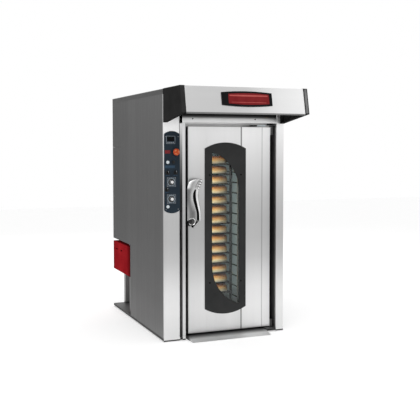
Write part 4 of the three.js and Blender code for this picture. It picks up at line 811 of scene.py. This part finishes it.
def make_panel_dressing():
    """Display, keys, bare plates and dial faces, all fixed to the control panel."""
    bm = bmesh.new()
    add_plate(bm, on_panel(58, 41, 63, 37, 2), DIAL_Y + 0.8, DIAL_Y + 2)
    to_object("display", bm, "screen_black", "casing")
    bm = bmesh.new()
    for across, down, width, height in ((58, 17, 82, 3), (58, 81.5, 82, 3), (18.5, 49, 3, 62),
                                        (97.5, 49, 3, 62)):
        add_plate(bm, on_panel(across, down, width, height, 1.2), DIAL_Y - 1, DIAL_Y + 0.5)
    for k in range(4):
        add_plate(bm, on_panel(34 + 16 * k, 71, 11, 8, 2), DIAL_Y - 1.4, DIAL_Y + 0.5)
    to_object("display_keys", bm, "key_grey", "casing")
    bm = bmesh.new()
    for k in range(3):
        add_plate(bm, on_panel(39 + 14 * k, 29, 3, 3, 1.4), DIAL_Y + 0.2, DIAL_Y + 0.9)
    to_object("display_lamps", bm, "lamp_green", "casing")
    bm = bmesh.new()
    add_plate(bm, on_panel(30, 152.5, 50, 29, 3), PLATE_Y - 0.9, PLATE_Y + 0.3)
    to_object("stop_plate", bm, "label_red", "casing")
    bm = bmesh.new()
    for across, down, width in ((49.5, 272, 91), (49.5, 290, 91), (30, 356, 36), (102, 356, 36),
                                (23, 501, 30), (30, 604, 34)):
        add_plate(bm, on_panel(across, down, width, 4.5, 1.5), PLATE_Y - 0.6, PLATE_Y + 0.3)
    add_plate(bm, on_panel(49.5, 281, 91, 9, 1.5), PLATE_Y - 0.5, PLATE_Y + 0.3)
    to_object("legend_strips", bm, "label_blue", "casing")

    faces, dials, marks, screws = bmesh.new(), bmesh.new(), bmesh.new(), bmesh.new()
    for x, z in map(centre_of, TIMERS):
        add_plate(faces, rounded(x, z, 84, 84, 6), DIAL_Y - 0.9, DIAL_Y + 0.4)
        add_lathe(dials, x, z, [(0, DIAL_Y - 1.2), (29.6, DIAL_Y - 1.2), (30, DIAL_Y - 0.7),
                                (30, DIAL_Y - 0.2), (0, DIAL_Y - 0.2)], sides=64)
        add_lathe(marks, x, z, [(30, DIAL_Y - 0.7), (30.3, DIAL_Y - 1.6), (31.7, DIAL_Y - 1.6),
                                (32, DIAL_Y - 0.7)], sides=64)
        for k in range(11):
            a = math.radians(240 - 30 * k)
            add_plate(marks, [(x + px * math.sin(a) + pz * math.cos(a),
                               z - px * math.cos(a) + pz * math.sin(a))
                              for px, pz in rounded(0, 35.5, 2, 5.5, 0.8)], DIAL_Y - 1.3, DIAL_Y - 0.7)
        for dx, dz in ((-36, -36), (-36, 36), (36, -36), (36, 36)):
            add_screw(screws, x + dx, DIAL_Y - 0.8, z + dz, 3.2, 1.6)
    for across, down in ((15, 22), (127, 22), (15, 650), (127, 650)):
        add_screw(screws, PANEL_LEFT + across, PLATE_Y, PANEL_TOP - down, 3.8, 2)
    to_object("dial_faces", faces, "dial_silver", "casing")
    to_object("dial_discs", dials, "dial_dark", "casing")
    to_object("dial_marks", marks, "label_white", "casing")
    to_object("panel_screws", screws, "screw_steel", "casing")


# ---------------------------------------------------------------- hood, sign and small trim
HOOD_FOOT = 1982  # lower edge of the hood front
HOOD_LEAN = 46  # how far its top stands back from its foot
FASCIA_SCREWS_X, FASCIA_SCREWS_Z = (-310, 292), 1948
GROOVE_SHADE_SHEET = (-419.3, 1531, 24, 752, 1)  # x, z, width, height, corner
KICK_STRIPS = ((-583, -431), (-407, -379), (507, 583))  # left and right ends
KICK_HEIGHT = 29
CAP_STRIP_INSET = 8


def make_sign():
    """Bare field of the sign: dark red in a black rim with painted highlight bands, leaning with the
    front of the hood.
    """
    middle = sum(box_mm("hood_sign_panel"), Vector()) / 2
    lean = math.atan2(HOOD_LEAN, box_mm("hood_canopy")[1].z - HOOD_FOOT)
    place = Matrix.Translation(middle) @ Matrix.Rotation(-lean, 4, "X")
    field = [(x + 16, z) for x, z in bowed(372, 82, 8)]
    bands = [[(x * 0.94, z * 0.14 + 27) for x, z in field], [(x * 0.86, z * 0.05 - 30) for x, z in field]]
    for name, shapes, front, finish in (("sign_field", [field], -4.2, "sign_red"),
                                        ("sign_highlight_bands", bands, -4.9, "sign_glow")):
        bm = bmesh.new()
        for points in shapes:
            add_plate(bm, points, front, front + 2.2)
        bm.transform(place)
        bevel(to_object(name, bm, finish, "casing"), 0.5)


def add_screw(bm, x, y, z, radius=5.0, height=2.6):
    add_lathe(bm, x, z, [(0, y - height), (radius * 0.75, y - height), (radius, y - height * 0.4),
                         (radius, y + 0.2), (0, y + 0.2)], sides=20)


def make_trim():
    """Screws, a sheet painted with the shade in the groove, kick strips, hood lip, hinge covers and a
    painted highlight on the right end cap's edge.
    """
    bm = bmesh.new()
    for x in FASCIA_SCREWS_X:
        add_screw(bm, x, 0, FASCIA_SCREWS_Z, 6)
    to_object("fascia_screws", bm, "inlay_black", "casing")
    surround = box_mm("window_surround")
    bm = bmesh.new()
    for x in (surround[0].x + 47, surround[1].x - 49):
        for z in (surround[0].z + 290, surround[1].z - 290):
            add_screw(bm, x, surround[0].y, z, 7)
    to_object("window_screws", bm, "inlay_black", "door")

    # a sheet across the groove at the column face, painted with the shade in the groove
    bm = bmesh.new()
    add_plate(bm, rounded(*GROOVE_SHADE_SHEET), -1.4, 1.2)
    bevel(to_object("groove_shade_sheet", bm, "groove_steel", "casing"), 0.4)
    bm = bmesh.new()
    for left, right in KICK_STRIPS:
        add_plate(bm, rounded((left + right) / 2, 19, right - left - 1, KICK_HEIGHT, 1), -1.2, 4)
    bevel(to_object("kick_strips", bm, "kick_steel", "casing"), 0.5)
    bm = bmesh.new()
    low, high = box_mm("hood_canopy")
    add_plate(bm, [(low.x, HOOD_FOOT - 10), (high.x, HOOD_FOOT - 10), (high.x, HOOD_FOOT + 2),
                   (low.x, HOOD_FOOT + 2)], low.y - 0.8, low.y + 2.4)
    bevel(to_object("hood_lip", bm, "lip_steel", "casing"), 0.5)
    bm = bmesh.new()
    add_plate(bm, rounded(296, 1892, 62, 13, 2), 34, 62)
    add_plate(bm, rounded(478, 1889, 46, 8, 2), 30, 62)
    bevel(to_object("hinge_cover_black", bm, "black_plastic", "casing"), 0.8)
    bm = bmesh.new()
    add_plate(bm, rounded(372, 1893, 84, 11, 2), 36, 62)
    bevel(to_object("hinge_cover_light", bm, "white_plastic", "casing"), 0.8)

    # a painted highlight strip on the front edge of the right end cap
    low, high = box_mm("hood_end_cap_right")
    rise = high.z - HOOD_FOOT
    bm = bmesh.new()
    left, right = low.x + CAP_STRIP_INSET, high.x - CAP_STRIP_INSET
    add_plate(bm, [(left, 0.03), (right, 0.03), (right, 0.97), (left, 0.97)], -0.6, 0.6)
    for vert in bm.verts:
        share = vert.co.z
        vert.co.y += low.y + HOOD_LEAN * share
        vert.co.z = HOOD_FOOT + rise * share
    to_object("cap_highlight_strip", bm, "cap_edge", "casing")


# ---------------------------------------------------------------- loaves
LOAVES_PER_TRAY = 5
LOAF_STATIONS, LOAF_RING = 26, 20
LOAF_HEIGHT = 81


def add_loaf(bm, start, end, y, base, width, height, seed):
    """A long loaf along X on the plane z = base: flat foot, swollen sides, blunt ends, uneven skin."""
    draw = random.Random(seed)
    lean, swell = draw.uniform(-0.05, 0.05), draw.uniform(0.95, 1.04)
    rings = []
    for i in range(LOAF_STATIONS + 1):
        t = -1 + 2 * i / LOAF_STATIONS
        x = (start + end) / 2 + t * (end - start) / 2
        girth = max(1 - abs(t) ** 18, 0.02) ** 0.4 * swell
        ring = []
        for k in range(LOAF_RING):
            a = 2 * math.pi * k / LOAF_RING
            side, rise = math.cos(a), math.sin(a)
            across = math.copysign(abs(side) ** (0.75 if rise > 0 else 0.3), side) * width / 2 * girth
            upward = math.copysign(abs(rise) ** 0.85, rise) * (0.58 if rise > 0 else 0.42)
            z = base + height * (0.42 + upward) * (0.4 + 0.6 * girth)
            wobble = 4 * noise.noise(Vector((x * 0.03 + seed, y * 0.03, z * 0.03)))
            spot = y + across + lean * rise * width / 2 + wobble * side
            ring.append(bm.verts.new((x, spot, max(base, z + wobble * max(rise, 0)))))
        rings.append(ring)
    for a, b in zip(rings, rings[1:]):
        for k in range(LOAF_RING):
            j = (k + 1) % LOAF_RING
            bm.faces.new((a[k], a[j], b[j], b[k]))
    bm.faces.new(rings[0][::-1])
    bm.faces.new(rings[-1])


def make_loaves():
    trays = sorted(name for name in NODES if name.startswith("tray_"))
    for index, tray in enumerate(trays):
        low, high = box_mm(tray)
        pitch = (high.y - low.y - 12) / LOAVES_PER_TRAY
        draw = random.Random(100 + index)
        bm = bmesh.new()
        for k in range(LOAVES_PER_TRAY):
            add_loaf(
                bm, low.x + 10 + draw.uniform(0, 10), high.x - 6 - draw.uniform(0, 6),
                low.y + 6 + pitch * (k + 0.5), low.z + 1.8, pitch - 7,
                LOAF_HEIGHT + draw.uniform(-5, 2), 17 * index + k,
            )
        bmesh.ops.recalc_face_normals(bm, faces=bm.faces)
        to_object("loaves_" + tray[-2:], bm, "crust", "rack")


# ---------------------------------------------------------------- stage and light
FLOOR_REACH, FLOOR_DROP = 14, 0.0005


def pale_to_camera(tree, strength, dim, bright):
    """Feeds a strength: bright to the camera, to mirrors and through glass, dim as a light source."""
    rays = tree.nodes.new("ShaderNodeLightPath")
    level = tree.nodes.new("ShaderNodeMapRange")
    level.inputs["To Min"].default_value = dim
    level.inputs["To Max"].default_value = bright
    seen = rays.outputs["Is Camera Ray"]
    for other in ("Is Glossy Ray", "Is Transmission Ray"):
        either = tree.nodes.new("ShaderNodeMath")
        either.operation = "MAXIMUM"
        tree.links.new(seen, either.inputs[0])
        tree.links.new(rays.outputs[other], either.inputs[1])
        seen = either.outputs[0]
    tree.links.new(seen, level.inputs["Value"])
    tree.links.new(level.outputs["Result"], strength)


def make_stage():
    mesh = bpy.data.meshes.new("floor")
    corners = [(x * FLOOR_REACH, y * FLOOR_REACH, 0) for x, y in ((-1, -1), (1, -1), (1, 1), (-1, 1))]
    mesh.from_pydata(corners, [], [(0, 1, 2, 3)])
    floor = bpy.data.objects.new("floor", mesh)
    bpy.context.scene.collection.objects.link(floor)
    floor.location.z = -FLOOR_DROP
    material = bpy.data.materials.new("floor")
    material.use_nodes = True
    shader = material.node_tree.nodes["Principled BSDF"]
    shader.inputs["Base Color"].default_value = (0.86, 0.86, 0.86, 1)
    shader.inputs["Roughness"].default_value = 0.9
    shader.inputs["Emission Color"].default_value = (1, 1, 1, 1)
    pale_to_camera(material.node_tree, shader.inputs["Emission Strength"], 0.0, 0.42)
    mesh.materials.append(material)


def make_world():
    world = bpy.data.worlds.new("studio")
    bpy.context.scene.world = world
    world.use_nodes = True
    background = world.node_tree.nodes["Background"]
    background.inputs["Color"].default_value = (1, 1, 1, 1)
    pale_to_camera(world.node_tree, background.inputs["Strength"], 0.6, 1.0)


def area_light(name, place, target, size, power, colour=(1, 1, 1), spread=180):
    data = bpy.data.lights.new(name, "AREA")
    data.spread = math.radians(spread)
    data.shape = "RECTANGLE"
    data.size, data.size_y = size
    data.energy = power
    data.color = colour
    light = bpy.data.objects.new(name, data)
    bpy.context.scene.collection.objects.link(light)
    light.location = place
    light.rotation_euler = (Vector(target) - Vector(place)).to_track_quat("-Z", "Y").to_euler()
    light.visible_camera = False


def make_lights():
    area_light("key", (-1.5, -4.5, 6.0), (0, 0, 1.1), (4.0, 4.0), 110)
    area_light("rear", (1.0, 5.5, 4.5), (0, 0, 1.2), (4.0, 3.0), 70)
    area_light("chamber_lamp", (-0.22, at_y(150), 1.03), (0.04, at_y(260), 1.03), (0.1, 1.6), 5,
               (1.0, 0.93, 0.82))
    area_light("chamber_side", (0.29, at_y(170), 1.03), (0.33, at_y(520), 1.03), (0.06, 1.5), 3.6,
               (0.80, 1.0, 0.98), spread=70)


make_camera()
make_stage()
make_world()
make_lights()
finish_cad_nodes()
make_lever()
make_controls()
make_panel_dressing()
make_sign()
make_trim()
make_loaves()
